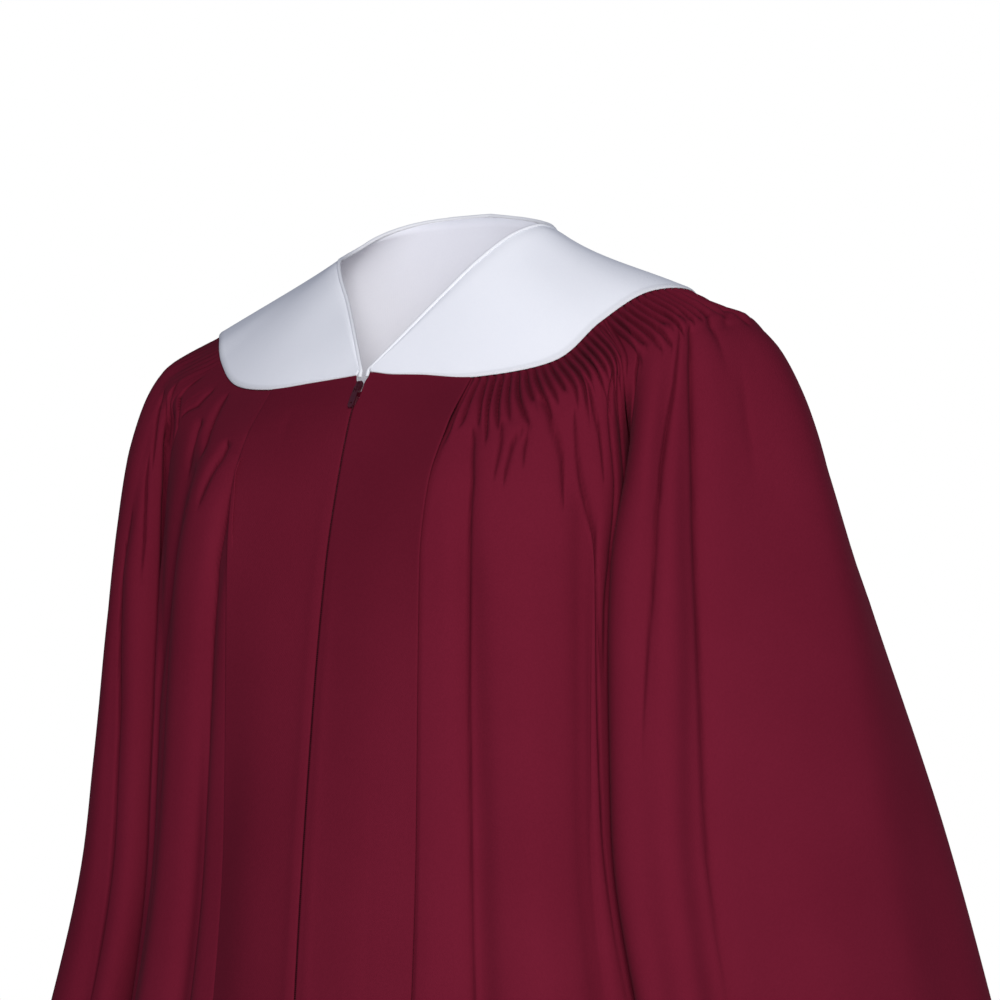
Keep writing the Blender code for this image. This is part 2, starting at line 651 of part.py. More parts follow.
def make_front_panels():
    """The two flat panels either side of the zip."""
    for side in (1, -1):
        rows = []
        for v in PANEL_ROWS:
            u = np.array(PANEL_TOP_COLUMNS if v == 0 else PANEL_COLUMNS)
            row = sheet_row("front_panel", side, u, v, PANEL_PROUD, CLOTH, 0.0)
            for points in row[1:]:
                points[0, 0] = side * half_gap(points[0, 2])
            rows.append(row)
        shell("front_panel_" + side_name(side), rows, COLOUR_PANEL, 0.85)


def yoke_sag(side, shares, across):
    """How far the yoke dips between the standing neck edge and the shoulder."""
    round_shoulder = smooth((shares - 0.30) / 0.15) * smooth((0.95 - shares) / 0.25)
    return YOKE_SAG[side] * round_shoulder * 6.75 * across * (1 - across) ** 2


def yoke_ring(shares, across, lift):
    """Points of the yoke's surface all round at one distance from the neck, left half then right."""
    halves = []
    for side in (1, -1):
        neck, edge, out, normal = yoke_frame(side, shares)
        width = np.linalg.norm(edge - neck, axis=1)[:, None]
        slant = np.linalg.norm(np.cross(out, unit(np.gradient(neck, axis=0))), axis=1)[:, None]
        start = (NECK_ROLL + SEAM) / np.maximum(slant, 0.5)
        distance = start + (width - start) * across
        rise = lift - yoke_sag(side, shares, across)[:, None]
        halves.append(neck + out * distance + normal * rise)
    middle = (halves[0][-1] + halves[1][-1]) / 2
    return np.concatenate([halves[0][:-1], [middle], halves[1][:-1][::-1]])


def make_yoke():
    """The white yoke, the facing under it, and the rolled edge round the neck."""
    shares = np.linspace(YOKE_FRONT, 1, 26)
    columns = np.linspace(0, 1, 51)
    low = FACING_CLOTH / 2 + SEAM
    rows = []
    for across in YOKE_ROWS:
        rows.append([columns, yoke_ring(shares, across, low + YOKE_CLOTH), yoke_ring(shares, across, low)])
    shell("yoke", rows, COLOUR_YOKE, 0.7)
    rows = []
    for across in YOKE_ROWS:
        top = yoke_ring(shares, across, FACING_CLOTH / 2)
        rows.append([columns, top, yoke_ring(shares, across, -FACING_CLOTH / 2)])
    shell("yoke_facing", rows, COLOUR_FACING, 0.7)
    make_neck_edge()


def make_neck_edge():
    """A roll along the neck curve whose front ends turn down over the opening."""
    shares = np.concatenate([[0.0, YOKE_FRONT / 2], np.linspace(YOKE_FRONT, 1, 26)])
    centres = []
    frames = []
    for side in (1, -1):
        neck, _, _, normal = yoke_frame(side, shares)
        run = neck + normal * ROLL_LIFT
        tips = []
        for drop in TIP_DROPS:
            tips.append(run[0] + np.array([0.0, -0.32, -0.95]) * drop)
        centres.append(np.concatenate([tips, run]))
        frames.append(np.concatenate([np.repeat(normal[:1], 2, 0), normal]))
    path = np.concatenate([centres[0][:-1], centres[1][::-1]])
    up = np.concatenate([frames[0][:-1], frames[1][::-1]])
    across = unit(np.cross(up, np.gradient(path, axis=0)))
    up = unit(np.cross(np.gradient(path, axis=0), across))
    sides = 6
    vertices = []
    for p, a, n in zip(path, across, up):
        for i in range(sides):
            angle = 2 * math.pi * i / sides
            vertices.append(p + a * NECK_ROLL * math.cos(angle) + n * NECK_ROLL * math.sin(angle))
    faces = [tuple(range(sides)), tuple(range(len(vertices) - sides, len(vertices)))]
    for i in range(len(path) - 1):
        for j in range(sides):
            k = (j + 1) % sides
            a = i * sides
            faces.append((a + j, a + k, a + sides + k))
            faces.append((a + j, a + sides + k, a + sides + j))
    add_object("neck_edge", vertices, faces, COLOUR_EDGE, 0.7)


def level_at(z):
    """The share down the front's centre line at a height."""
    share = np.linspace(0, 1, 801)
    heights = surface("front_panel", 1, np.array([0.0]), share)[:, 0, 2]
    return float(np.interp(-z, -heights, share))


def make_zip_tapes():
    """A tape behind each panel's edge, made from the panel's own points."""
    columns = np.array(PANEL_COLUMNS)
    u = np.array([(TAPE_IN - 0.001) / 0.088, columns[1], columns[2]])
    lift = PANEL_PROUD - CLOTH - SEAM
    for side in (1, -1):
        rows = []
        for v in PANEL_ROWS:
            if TAPE_ROWS[0] <= v <= TAPE_ROWS[1]:
                points = surface("front_panel", side, columns, np.array([v]))[0]
                upright = normals("front_panel", side, columns, np.array([v]))[0]
                base = np.stack([np.interp(u, columns, points[:, i]) for i in range(3)], axis=1)
                normal = np.stack([np.interp(u, columns, upright[:, i]) for i in range(3)], axis=1)
                rows.append([u, base + normal * lift, base + normal * (lift - TAPE_CLOTH)])
        shell("zip_tape_" + side_name(side), rows, COLOUR_ZIP, 0.8)


def plate(name, outline, holes, thick, place, colour, rough):
    """A flat shape with holes, thickened; place turns (across, along, out) into a world point."""
    loops = [outline] + list(holes)
    flat = [[Vector((p[0], p[1], 0.0)) for p in loop] for loop in loops]
    triangles = tessellate_polygon(flat)
    points = [p for loop in loops for p in loop]
    count = len(points)
    vertices = [place(p[0], p[1], -thick / 2) for p in points] + [place(p[0], p[1], thick / 2) for p in points]
    faces = []
    for a, b, c in triangles:
        faces.append((a, b, c))
        faces.append((c + count, b + count, a + count))
    start = 0
    for loop in loops:
        for i in range(len(loop)):
            a = start + i
            b = start + (i + 1) % len(loop)
            faces.append((a, b, b + count))
            faces.append((a, b + count, a + count))
        start += len(loop)
    return add_object(name, vertices, faces, colour, rough)


def zip_frame():
    """The slider's middle on the closed front, the direction up the front, and straight out of it."""
    v = level_at(SLIDER_Z)
    point = surface("front_panel", 1, np.array([0.0]), np.array([v]))[0, 0]
    ahead = surface("front_panel", 1, np.array([0.0]), np.array([v - 0.008]))[0, 0]
    along = unit(ahead - point)
    along[0] = 0
    along = unit(along)
    out = unit(np.cross(along, np.array([1.0, 0, 0]))) * -1
    if out[1] > 0:
        out = -out
    point[0] = 0
    return point, along, out


def make_slider():
    """Slider body with a crown over the pull's bar, in one closed piece."""
    point, along, out = zip_frame()
    across = np.array([1.0, 0, 0])
    half = SLIDER_LENGTH / 2
    wide = SLIDER_WIDTH / 2
    face = 0.0002 + SLIDER_THICK
    middle = 0.0002 + SLIDER_THICK / 2

    def flat(x, y, z):
        return point + across * x + along * y + out * (z + middle)

    outline = [
        (-wide, half - 0.0010),
        (-wide + 0.0008, half),
        (wide - 0.0008, half),
        (wide, half - 0.0010),
        (wide, -0.0010),
        (wide - 0.0006, -half + 0.0006),
        (wide - 0.0012, -half),
        (-wide + 0.0012, -half),
        (-wide + 0.0006, -half + 0.0006),
        (-wide, -0.0010),
    ]
    body = plate("zip_slider", outline, [], SLIDER_THICK, flat, COLOUR_ZIP, 0.5)

    def upright(y, z, x):
        return point + across * x + along * y + out * (face + z)

    low = -0.0002
    rise = PIN_RISE + 0.0009
    profile = [
        (0.0032, low),
        (0.0032, rise - 0.0007),
        (0.0025, rise + 0.0003),
        (-0.0025, rise + 0.0003),
        (-0.0032, rise - 0.0007),
        (-0.0032, low),
        (-0.0022, low),
        (-0.0022, rise - 0.0007),
        (-0.0018, rise - 0.0002),
        (0.0018, rise - 0.0002),
        (0.0022, rise - 0.0007),
        (0.0022, low),
    ]
    crown = plate("crown", profile, [], CROWN_WIDTH, upright, COLOUR_ZIP, 0.5)
    crown.hide_render = True
    crown.display_type = "WIRE"
    bpy.context.view_layer.objects.active = body
    join = body.modifiers.new("crown", "BOOLEAN")
    join.operation = "UNION"
    join.solver = "EXACT"
    join.object = crown
    bpy.ops.object.modifier_apply(modifier=join.name)
    bpy.data.objects.remove(crown, do_unlink=True)
    paint(body, COLOUR_ZIP, 0.5)


def circle(x, y, radius, count):
    """Corner points of a round hole."""
    made = []
    for i in range(count):
        angle = 2 * math.pi * i / count
        made.append((x + radius * math.cos(angle), y + radius * math.sin(angle)))
    return made


def make_pull():
    """The pull tab: a bar under the crown, two arms past it and a tab with a hole, its origin on the hinge."""
    point, along, out = zip_frame()
    across = np.array([1.0, 0, 0])
    pivot = point - along * 0.0012 + out * (0.0002 + SLIDER_THICK + PIN_RISE)
    wide = PULL_WIDTH / 2

    def flat(x, y, z):
        return across * x + along * y + out * z

    outline = [
        (-wide + 0.0005, 0.0004),
        (wide - 0.0005, 0.0004),
        (wide - 0.0002, 0.0),
        (wide - 0.0002, -0.0055),
        (wide, -0.0075),
        (wide, -PULL_LENGTH + 0.0020),
        (wide - 0.0008, -PULL_LENGTH + 0.0005),
        (0.0, -PULL_LENGTH),
        (-wide + 0.0008, -PULL_LENGTH + 0.0005),
        (-wide, -PULL_LENGTH + 0.0020),
        (-wide, -0.0075),
        (-wide + 0.0002, -0.0055),
        (-wide + 0.0002, 0.0),
    ]
    eye = [(-0.0012, -0.0004), (-0.0012, -0.0046), (0.0012, -0.0046), (0.0012, -0.0004)]
    hole = circle(0.0, -PULL_LENGTH + 0.0038, 0.0009, 10)
    pull = plate("zip_pull", outline, [eye, hole], PULL_THICK, flat, COLOUR_ZIP, 0.5)
    pull.location = [float(x) for x in pivot]
    print("zip pull hinge at", [round(float(x), 5) for x in pivot])


for item in list(bpy.data.objects):
    bpy.data.objects.remove(item, do_unlink=True)
make_yoke()
make_front_panels()
make_gathered_pieces()
make_zip_tapes()
make_slider()
make_pull()
total = 0
for item in bpy.data.objects:
    item.data.calc_loop_triangles()
    total += len(item.data.loop_triangles)
    print(item.name, len(item.data.loop_triangles))
print("triangles", total)
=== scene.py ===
# %% [markdown]
# # A choir robe, dressed piece by piece
# The real thing is a full-length burgundy robe with a white shoulder yoke. Two flat front panels meet at a
# zip, and everything beside them is gathered into small hand-made flutes where it joins the yoke.
# The solids of the robe are loaded first and never moved. Each cloth piece is then made again with many
# more faces, on the same smooth surface, so that it can carry flutes, folds, hems and a woven finish.

# %% Load the frame
import math
import bpy
import bmesh
import numpy as np
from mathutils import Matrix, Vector


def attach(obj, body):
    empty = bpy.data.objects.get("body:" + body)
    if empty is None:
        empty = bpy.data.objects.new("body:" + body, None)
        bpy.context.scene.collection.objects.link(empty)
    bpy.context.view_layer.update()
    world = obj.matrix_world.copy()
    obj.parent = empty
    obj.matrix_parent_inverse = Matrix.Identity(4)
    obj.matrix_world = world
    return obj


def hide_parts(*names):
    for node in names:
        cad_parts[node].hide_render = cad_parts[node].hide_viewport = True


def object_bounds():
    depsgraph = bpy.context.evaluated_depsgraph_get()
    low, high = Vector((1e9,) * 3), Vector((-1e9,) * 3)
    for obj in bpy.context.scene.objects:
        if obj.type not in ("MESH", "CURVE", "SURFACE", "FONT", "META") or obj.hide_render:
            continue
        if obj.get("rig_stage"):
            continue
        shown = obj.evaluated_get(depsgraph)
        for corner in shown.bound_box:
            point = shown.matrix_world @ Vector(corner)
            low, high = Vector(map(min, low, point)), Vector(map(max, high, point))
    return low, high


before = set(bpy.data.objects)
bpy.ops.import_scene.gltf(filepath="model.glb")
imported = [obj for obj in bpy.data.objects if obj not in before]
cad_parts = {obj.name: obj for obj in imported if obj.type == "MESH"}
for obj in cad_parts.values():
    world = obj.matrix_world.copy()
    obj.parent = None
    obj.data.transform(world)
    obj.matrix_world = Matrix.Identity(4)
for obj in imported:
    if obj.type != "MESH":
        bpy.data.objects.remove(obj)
solid_box = [[float(x) for x in corner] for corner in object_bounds()]
scene = bpy.context.scene
print("solids' box", [[round(x, 3) for x in corner] for corner in solid_box])

# %% [markdown]
# ## The eye, the room and the light
# The robe is seen from a little to the wearer's left and from just below the chest, through a long lens, so
# the near and far shoulders keep almost the same scale. A long lens far away was chosen over a short one
# close by, because a short one would swell the nearer sleeve.

# %% Camera
AZIMUTH = math.radians(33)
RISE = math.radians(6)
DISTANCE = 3.2
rightward = Vector((math.cos(AZIMUTH), math.sin(AZIMUTH), 0))
forward = Vector((-math.sin(AZIMUTH) * math.cos(RISE), math.cos(AZIMUTH) * math.cos(RISE), math.sin(RISE)))
upward = rightward.cross(forward)
target = rightward * 0.0401 - upward * 0.1895
eye = bpy.data.objects.new("eye", bpy.data.cameras.new("eye"))
scene.collection.objects.link(eye)
eye.location = target - forward * DISTANCE
eye.rotation_euler = forward.to_track_quat("-Z", "Y").to_euler()
eye.data.lens = 158.05
eye.data.sensor_width = 36
eye.data.clip_end = 60
scene.camera = eye
print("camera at", [round(x, 3) for x in eye.location])

# %% Soft studio light
def soft_light(name, place, aim, width, height, power, colour):
    """A large rectangular lamp that looks at a point."""
    bpy.ops.object.light_add(type="AREA", location=place)
    lamp = bpy.context.object
    lamp.name = name
    lamp.data.shape = "RECTANGLE"
    lamp.data.size = width
    lamp.data.size_y = height
    lamp.data.energy = power
    lamp.data.color = colour
    lamp.rotation_euler = (Vector(aim) - Vector(place)).to_track_quat("-Z", "Y").to_euler()
    return lamp


soft_light("key", (1.9, -2.8, 0.12), (0.05, 0, -0.35), 1.0, 1.3, 96, (1.0, 0.99, 0.975))
soft_light("back", (0.0, 3.2, -0.6), (0, 0, -0.6), 2.4, 2.4, 70, (0.97, 0.98, 1.0))
inner = soft_light("inside the neck", (0.02, -0.02, -0.30), (0, 0.06, -0.03), 0.10, 0.10, 0.10,
                   (0.98, 0.98, 1.0))
inner.visible_camera = False
scene.view_settings.view_transform = "Standard"
scene.view_settings.look = "None"

# %% Shader nodes in one call each
def connect(tree, value, socket):
    """Give a socket a value, or link it to another node's socket."""
    if isinstance(value, bpy.types.NodeSocket):
        tree.links.new(value, socket)
    else:
        socket.default_value = value


def fill(tree, node, **inputs):
    """Give a node its inputs by name, with _ for a space."""
    for name, value in inputs.items():
        connect(tree, value, node.inputs[name.replace("_", " ")])
    return node


def add(tree, kind, settings=(), **inputs):
    """A new shader node, with (setting, value) pairs and its inputs."""
    node = tree.nodes.new("ShaderNode" + kind)
    for name, value in settings:
        setattr(node, name, value)
    return fill(tree, node, **inputs)


def maths(tree, kind, a, b=0.5):
    """The result of a Math node; a and b are sockets or numbers."""
    node = add(tree, "Math", [("operation", kind)])
    connect(tree, a, node.inputs[0])
    connect(tree, b, node.inputs[1])
    return node.outputs[0]


def new_material(name):
    """A material, its node tree and its Principled node."""
    material = bpy.data.materials.new(name)
    material.use_nodes = True
    return material, material.node_tree, material.node_tree.nodes["Principled BSDF"]


# %% Pale surroundings and floor
world = bpy.data.worlds.new("studio")
scene.world = world
world.use_nodes = True
tree = world.node_tree
tree.nodes.clear()
seen = add(tree, "Background", Color=(1.0, 1.0, 1.0, 1), Strength=1.0)
glow = add(tree, "Background", Color=(0.56, 0.67, 1.0, 1), Strength=0.18)
either = add(tree, "MixShader", Fac=add(tree, "LightPath").outputs["Is Camera Ray"], Shader=glow.outputs[0])
tree.links.new(seen.outputs[0], either.inputs[2])
add(tree, "OutputWorld", Surface=either.outputs[0])

bpy.ops.object.select_all(action="DESELECT")
bpy.ops.mesh.primitive_plane_add(size=9, location=(0, 0, solid_box[0][2] - 0.14))
floor = bpy.context.object
floor.name = "floor"
floor_finish, tree, shader = new_material("pale_floor")
fill(tree, shader, Base_Color=(0.80, 0.80, 0.79, 1), Roughness=0.8)
floor.data.materials.append(floor_finish)
floor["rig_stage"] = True
print("floor", round(floor.location.z, 3))

# %% [markdown]
# ## Small helpers
# Operators act on whatever is selected, so each step first clears the selection. A piece is finished when
# its modifiers are applied and its own transform is back at the origin, with its place held in its mesh.

# %% Helpers for selecting and applying
def only(thing):
    """Select one object and nothing else."""
    if bpy.context.object and bpy.context.object.mode != "OBJECT":
        bpy.ops.object.mode_set(mode="OBJECT")
    bpy.ops.object.select_all(action="DESELECT")
    thing.select_set(True)
    bpy.context.view_layer.objects.active = thing
    return thing


def settle(thing):
    """Apply every modifier and the object's own transform."""
    only(thing)
    for modifier in list(thing.modifiers):
        bpy.ops.object.modifier_apply(modifier=modifier.name)
    bpy.ops.object.transform_apply(location=True, rotation=True, scale=True)
    return thing


def edit(thing, operator, **options):
    """Run one edit-mode operator on the whole of a mesh."""
    only(thing)
    bpy.ops.object.mode_set(mode="EDIT")
    bpy.ops.mesh.select_all(action="SELECT")
    operator(**options)
    bpy.ops.object.mode_set(mode="OBJECT")


def close_up(mesh):
    """Fill what is open, turn every face outwards, and tell how many edges were open."""
    work = bmesh.new()
    work.from_mesh(mesh)
    open_edges = [e for e in work.edges if e.is_boundary]
    bmesh.ops.holes_fill(work, edges=open_edges, sides=0)
    bmesh.ops.recalc_face_normals(work, faces=work.faces)
    work.to_mesh(mesh)
    work.free()
    return len(open_edges)


def triangles(thing):
    thing.data.calc_loop_triangles()
    return len(thing.data.loop_triangles)


def smooth(x):
    """An eased step from 0 to 1."""
    x = np.clip(x, 0, 1)
    return x * x * (3 - 2 * x)


def unit(vectors):
    length = np.linalg.norm(vectors, axis=-1, keepdims=True)
    return vectors / np.maximum(length, 1e-12)


def run_along(points):
    """The distance along a line of points to each of them."""
    return np.concatenate([[0], np.cumsum(np.linalg.norm(np.diff(points, axis=0), axis=1))])


def both_halves(left, right):
    """One line of points from two, each listed from the front to the centre back, where they meet."""
    middle = (left[..., -1:, :] + right[..., -1:, :]) / 2
    return np.concatenate([left[..., :-1, :], middle, right[..., -2::-1, :]], axis=-2)


# %% [markdown]
# ## The robe's surface
# A hanging robe is a set of smooth sheets that start at the yoke's edge and widen towards the hem. Each
# sheet is described as a pattern cutter would: a few level lines, each with a few points across. A smooth
# curve runs through the points of each level, and another runs down through the levels without
# overshooting them. Cloth simulation could drape the same shape, but it would move the folds about, and
# drawn levels keep each of them in place.

# %% The yoke's own stations in mm: neck x, y, z, then edge x, y, z
AT_PANEL, AT_ARM_FRONT, AT_ARM_BACK = 0.19, 0.41, 0.745
YOKE_SEAM = 0.0006
YOKE_SAG = {1: 0.0040, -1: 0.0010}
YOKE = {
    1: ((3, -101, -108, 3, -103, -111), (21.2, -83.3, -81.5, 45, -99, -113.8),
        (41.2, -63.2, -52, 90, -93, -117.7), (59, -47, -28, 140, -71, -107.4),
        (74.5, -29, -9, 164, -51, -80.3), (84, -10, 0.5, 187, -28.3, -58.9), (86, 6, 1.5, 202, 4, -53.5),
        (77.5, 27, 3, 189, 42, -61), (59, 46, 12.2, 165, 72, -83), (33, 56, 20, 100, 93, -103),
        (0, 60, 26.5, 0, 102, -108)),
    -1: ((3, -101, -108, 3, -103, -111), (21.2, -83.3, -79, 45, -99, -113),
         (41.2, -63.2, -51.5, 90, -93, -114.1), (59, -47, -30, 129.5, -78.5, -106.2),
         (72.5, -30, -15, 159.7, -54.5, -85.5), (81.5, -10, -7.8, 179.5, -31, -65.5),
         (84, 9, 0.2, 202, 5, -54), (76, 29, 13.2, 194, 42, -61), (59, 46, 22.5, 165, 72, -83),
         (33, 56, 26.2, 100, 93, -103), (0, 60, 26.5, 0, 102, -108)),
}
print("yoke stations", len(YOKE[1]), "a side")

# %% Levels down the robe, as shares of its length, and points across at each level
def levels(*rows):
    """Levels in mm: a height, then points (x, y), or (x, y, z) where a point has a height of its own."""
    return [np.array([(*point, z)[:3] for point in points]) / 1000 for z, *points in rows]


BODY_LEVELS = (0.0, 0.04, 0.085, 0.128, 0.275, 0.495, 0.738, 1.0)
SLEEVE_LEVELS = (0.0, 0.095, 0.23, 0.36, 0.672, 1.0)
# centre, middle, panel edge
FRONT_PANEL = levels(
    (-138, (1, -117), (45, -120, -147), (86.5, -126, -155)),
    (-198, (1, -136), (45, -142), (84, -146)),
    (-250, (1, -148), (45, -152), (82, -153)),
    (-430, (1, -171.5), (45, -168), (81, -155)),
    (-700, (1, -195), (50, -192), (87, -180)),
    (-1000, (1, -225), (55, -222), (93, -208)),
    (-1320, (1, -260), (60, -256), (100, -240)),
)
# panel edge, three across the breast, the crease's edge, armhole seam then side seam
SIDE_FRONT = levels(
    (-155, (86.5, -126), (115, -119, -153), (144, -104, -144), (171, -88, -131), (184, -79, -123),
     (194.5, -70, -116.5)),
    (-198, (84, -146), (119, -137), (150, -119), (177, -98), (192, -75), (182, -35, -185)),
    (-250, (82, -153), (119, -143), (152, -124), (178, -101), (190, -80), (178, 7.5)),
    (-430, (81, -155), (120, -146), (154, -130), (181, -109), (194, -86), (192, 7.5)),
    (-700, (87, -180), (140, -168), (187, -147), (222, -116), (240, -80), (243, 7.5)),
    (-1000, (93, -208), (160, -193), (220, -165), (262, -126), (285, -78), (290, 7.5)),
    (-1320, (100, -240), (178, -220), (248, -185), (298, -135), (325, -76), (332, 7.5)),
)
# armhole seam then side seam, back of the arm, three across the back, centre back
BACK = levels(
    (-116.5, (193.5, 80), (181, 94, -123.5), (165, 105, -130), (115, 118, -145), (60, 124, -150),
     (0, 126, -152)),
    (-198, (182, 50, -185), (190, 98), (165, 122), (115, 137), (60, 144), (0, 146)),
    (-250, (178, 7.5), (190, 100), (165, 128), (115, 144), (60, 152), (0, 154)),
    (-430, (192, 7.5), (196, 105), (170, 138), (118, 156), (60, 165), (0, 168)),
    (-700, (243, 7.5), (240, 110), (200, 155), (138, 180), (70, 192), (0, 196)),
    (-1000, (290, 7.5), (282, 115), (235, 170), (160, 205), (82, 222), (0, 228)),
    (-1320, (332, 7.5), (320, 125), (265, 190), (180, 235), (92, 255), (0, 262)),
)
print("body levels", len(FRONT_PANEL), "from", FRONT_PANEL[0][0][2], "to", FRONT_PANEL[-1][0][2])

# %% The sleeves: front seam, front turn, ridge, outer front, outer, outer back, ridge, back turn, back seam
SLEEVE_TOP = dict(zip((1, -1), levels(
    (-115.8, (195.5, -69.8), (206, -66.5, -109), (218, -60, -100), (234, -40, -86), (250, 12, -78.5),
     (236, 61, -89.5), (214, 74, -98), (205, 77.5, -106.5), (194.5, 79.5)),
    (-115.8, (195.5, -69.8), (205, -66, -108), (214, -60, -100), (226, -43, -84), (236, 6, -73),
     (226, 56, -86), (210, 72, -98), (205, 77.5, -106.5), (194.5, 79.5)),
)))
SLEEVE = levels(
    (-185, (183, -35), (200, -74), (222, -84, -180), (250, -55, -165), (290, 16, -150), (267, 76, -160),
     (228, 102, -175), (203, 100), (183, 50)),
    (-250, (179.5, 7.5, -252), (197, -82), (230, -92), (258, -59), (308, 26, -240), (287, 92, -245),
     (240, 122), (206, 110), (179.5, 7.5, -252)),
    (-430, (204, 7.5), (201, -89), (238, -99), (273, -60), (341, 35), (337, 121), (275, 155), (215, 125),
     (204, 7.5)),
    (-620, (240, 7.5), (236, -92), (272, -107), (316, -68), (382, 40), (380, 140), (310, 182), (245, 145),
     (240, 7.5)),
)
print("sleeve levels", len(SLEEVE) + 1, "down to", SLEEVE[-1][0][2])

# %% [markdown]
# ## From tables to a surface
# The curve that runs through the points is a Hermite curve: it passes through every point and takes its
# direction from the neighbours. The curve down the levels uses gentler slopes where the levels turn back,
# because an overshoot there would push one piece of cloth through the next.

# %% Curves across and down
def hermite(start, end, leave, arrive, f):
    """A cubic from start to end that leaves and arrives at the given slopes."""
    near = start * (1 + 2 * f) * (1 - f) ** 2 + leave * f * (1 - f) ** 2
    return near + end * f * f * (3 - 2 * f) + arrive * f * f * (f - 1)


def through(points, share):
    """A smooth curve through evenly spaced points; share runs 0 to 1 along it."""
    p = np.asarray(points, float)
    last = len(p) - 1
    t = np.clip(np.atleast_1d(np.asarray(share, float)), 0, 1) * last
    i = np.minimum(t.astype(int), last - 1)
    f = (t - i)[:, None]
    m = np.empty_like(p)
    m[1:-1] = (p[2:] - p[:-2]) / 2
    m[0] = p[1] - p[0]
    m[-1] = p[-1] - p[-2]
    return hermite(p[i], p[i + 1], m[i], m[i + 1], f)


def mirrored(points, side):
    return np.asarray(points) * (side, 1, 1)


def yoke_lines(side, share):
    """The neck curve and the edge curve of one half of the yoke."""
    table = np.array(YOKE[side]) / 1000
    return mirrored(through(table[:, :3], share), side), mirrored(through(table[:, 3:], share), side)


def yoke_frame(side, share):
    """Neck, edge, outward direction and upward normal of the yoke at each share."""
    neck, edge = yoke_lines(side, share)
    out = unit(edge - neck)
    onward = yoke_lines(side, share + 0.01)[1] - yoke_lines(side, share - 0.01)[1]
    return neck, edge, out, unit(np.cross(out, onward)) * side


def sections_of(piece, side):
    """A piece's tables, its levels, and where its top runs along the yoke's edge."""
    if piece == "front_panel":
        return FRONT_PANEL, BODY_LEVELS, 0.0, AT_PANEL
    if piece == "side_front":
        return SIDE_FRONT, BODY_LEVELS, AT_PANEL, AT_ARM_FRONT
    if piece == "back":
        return BACK, BODY_LEVELS, AT_ARM_BACK, 1.0
    return [SLEEVE_TOP[side]] + SLEEVE, SLEEVE_LEVELS, AT_ARM_FRONT, AT_ARM_BACK


def edge_share(piece, side, u):
    """Where along the yoke's edge each share across a piece lies."""
    _, _, start, stop = sections_of(piece, side)
    return start + (stop - start) * u


# %% A piece's surface and its outward direction
def blended_slope(first, second, before, after):
    """The slope at a level between two steps, level where they turn back."""
    one, two = 2 * after + before, after + 2 * before
    same = first * second > 1e-12
    first, second = np.where(same, first, 1.0), np.where(same, second, 1.0)
    return np.where(same, (one + two) / (one / first + two / second), 0.0)


def surface(piece, side, u, v):
    """Points of a piece's smooth surface, rows down (v) by columns across (u)."""
    tables, shares_down, _, _ = sections_of(piece, side)
    _, edge, out, _ = yoke_frame(side, edge_share(piece, side, np.clip(u, 0, 1)))
    lines = np.array([edge + out * YOKE_SEAM] + [mirrored(through(row, u), side) for row in tables])
    k = np.array(shares_down)
    step = (lines[1:] - lines[:-1]) / np.diff(k)[:, None, None]
    slope = np.empty_like(lines)
    slope[0], slope[-1] = step[0], step[-1]
    for i in range(1, len(k) - 1):
        slope[i] = blended_slope(step[i - 1], step[i], k[i] - k[i - 1], k[i + 1] - k[i])
    down = np.clip(np.asarray(v, float), 0, 1)
    i = np.minimum(np.searchsorted(k, down, "right") - 1, len(k) - 2)
    h = (k[i + 1] - k[i])[:, None, None]
    f = (down - k[i])[:, None, None] / h
    return hermite(lines[i], lines[i + 1], slope[i] * h, slope[i + 1] * h, f)


NUDGE_U, NUDGE_V = 0.006, 0.003


def raw_normal(piece, side, u, v):
    right, left = np.minimum(u + NUDGE_U, 1), np.maximum(u - NUDGE_U, 0)
    low, high = np.minimum(v + NUDGE_V, 1), np.maximum(v - NUDGE_V, 0)
    across = surface(piece, side, right, v) - surface(piece, side, left, v)
    down = surface(piece, side, u, low) - surface(piece, side, u, high)
    return unit(np.cross(down, across)) * side


# Which piece meets each end column, at which of its columns, and whether only below the underarm.
NEIGHBOURS = {
    "front_panel": {1: ("side_front", 0.0, False)},
    "side_front": {0: ("front_panel", 1.0, False), 1: ("back", 0.0, True)},
    "back": {0: ("side_front", 1.0, True)},
    "sleeve": {},
}


def normals(piece, side, u, v):
    """Outward directions that agree with the next piece along a seam, and with the yoke at the top."""
    own = raw_normal(piece, side, u, v)
    for end, (other, other_u, below_underarm) in NEIGHBOURS[piece].items():
        mine = raw_normal(piece, side, np.array([float(end)]), v)
        shared = unit(mine + raw_normal(other, side, np.array([other_u]), v))
        near = 1 - smooth(np.abs(u - end) / 0.12)
        low = smooth((v - 0.10) / 0.05) if below_underarm else np.ones(len(v))
        weight = low[:, None, None] * near[None, :, None]
        own = unit(own * (1 - weight) + shared * weight)
    top = yoke_frame(side, edge_share(piece, side, u))[3]
    weight = (1 - smooth(v / 0.05))[:, None, None]
    return unit(own * (1 - weight) + top[None] * weight)


corner = surface("side_front", 1, np.array([0.0, 1.0]), np.array([0.0, 1.0]))
print("side front runs from", np.round(corner[0, 0], 3), "to", np.round(corner[1, 1], 3))

# %% [markdown]
# ## Folds and flutes
# A fold is a soft trough or ridge that wanders down a piece. Each one is listed with its half width, then
# how far down and across it lies and how high it stands there. Troughs have one steep flank and one slow
# one where the cloth leans over, which is what makes a fold read as cloth and not as a wave.
#
# Flutes are the small rounded tubes that the gathering threads make under the yoke. A rectified sine gives
# them round tops and sharp valleys. Each has its own height and length, since they are set by hand.

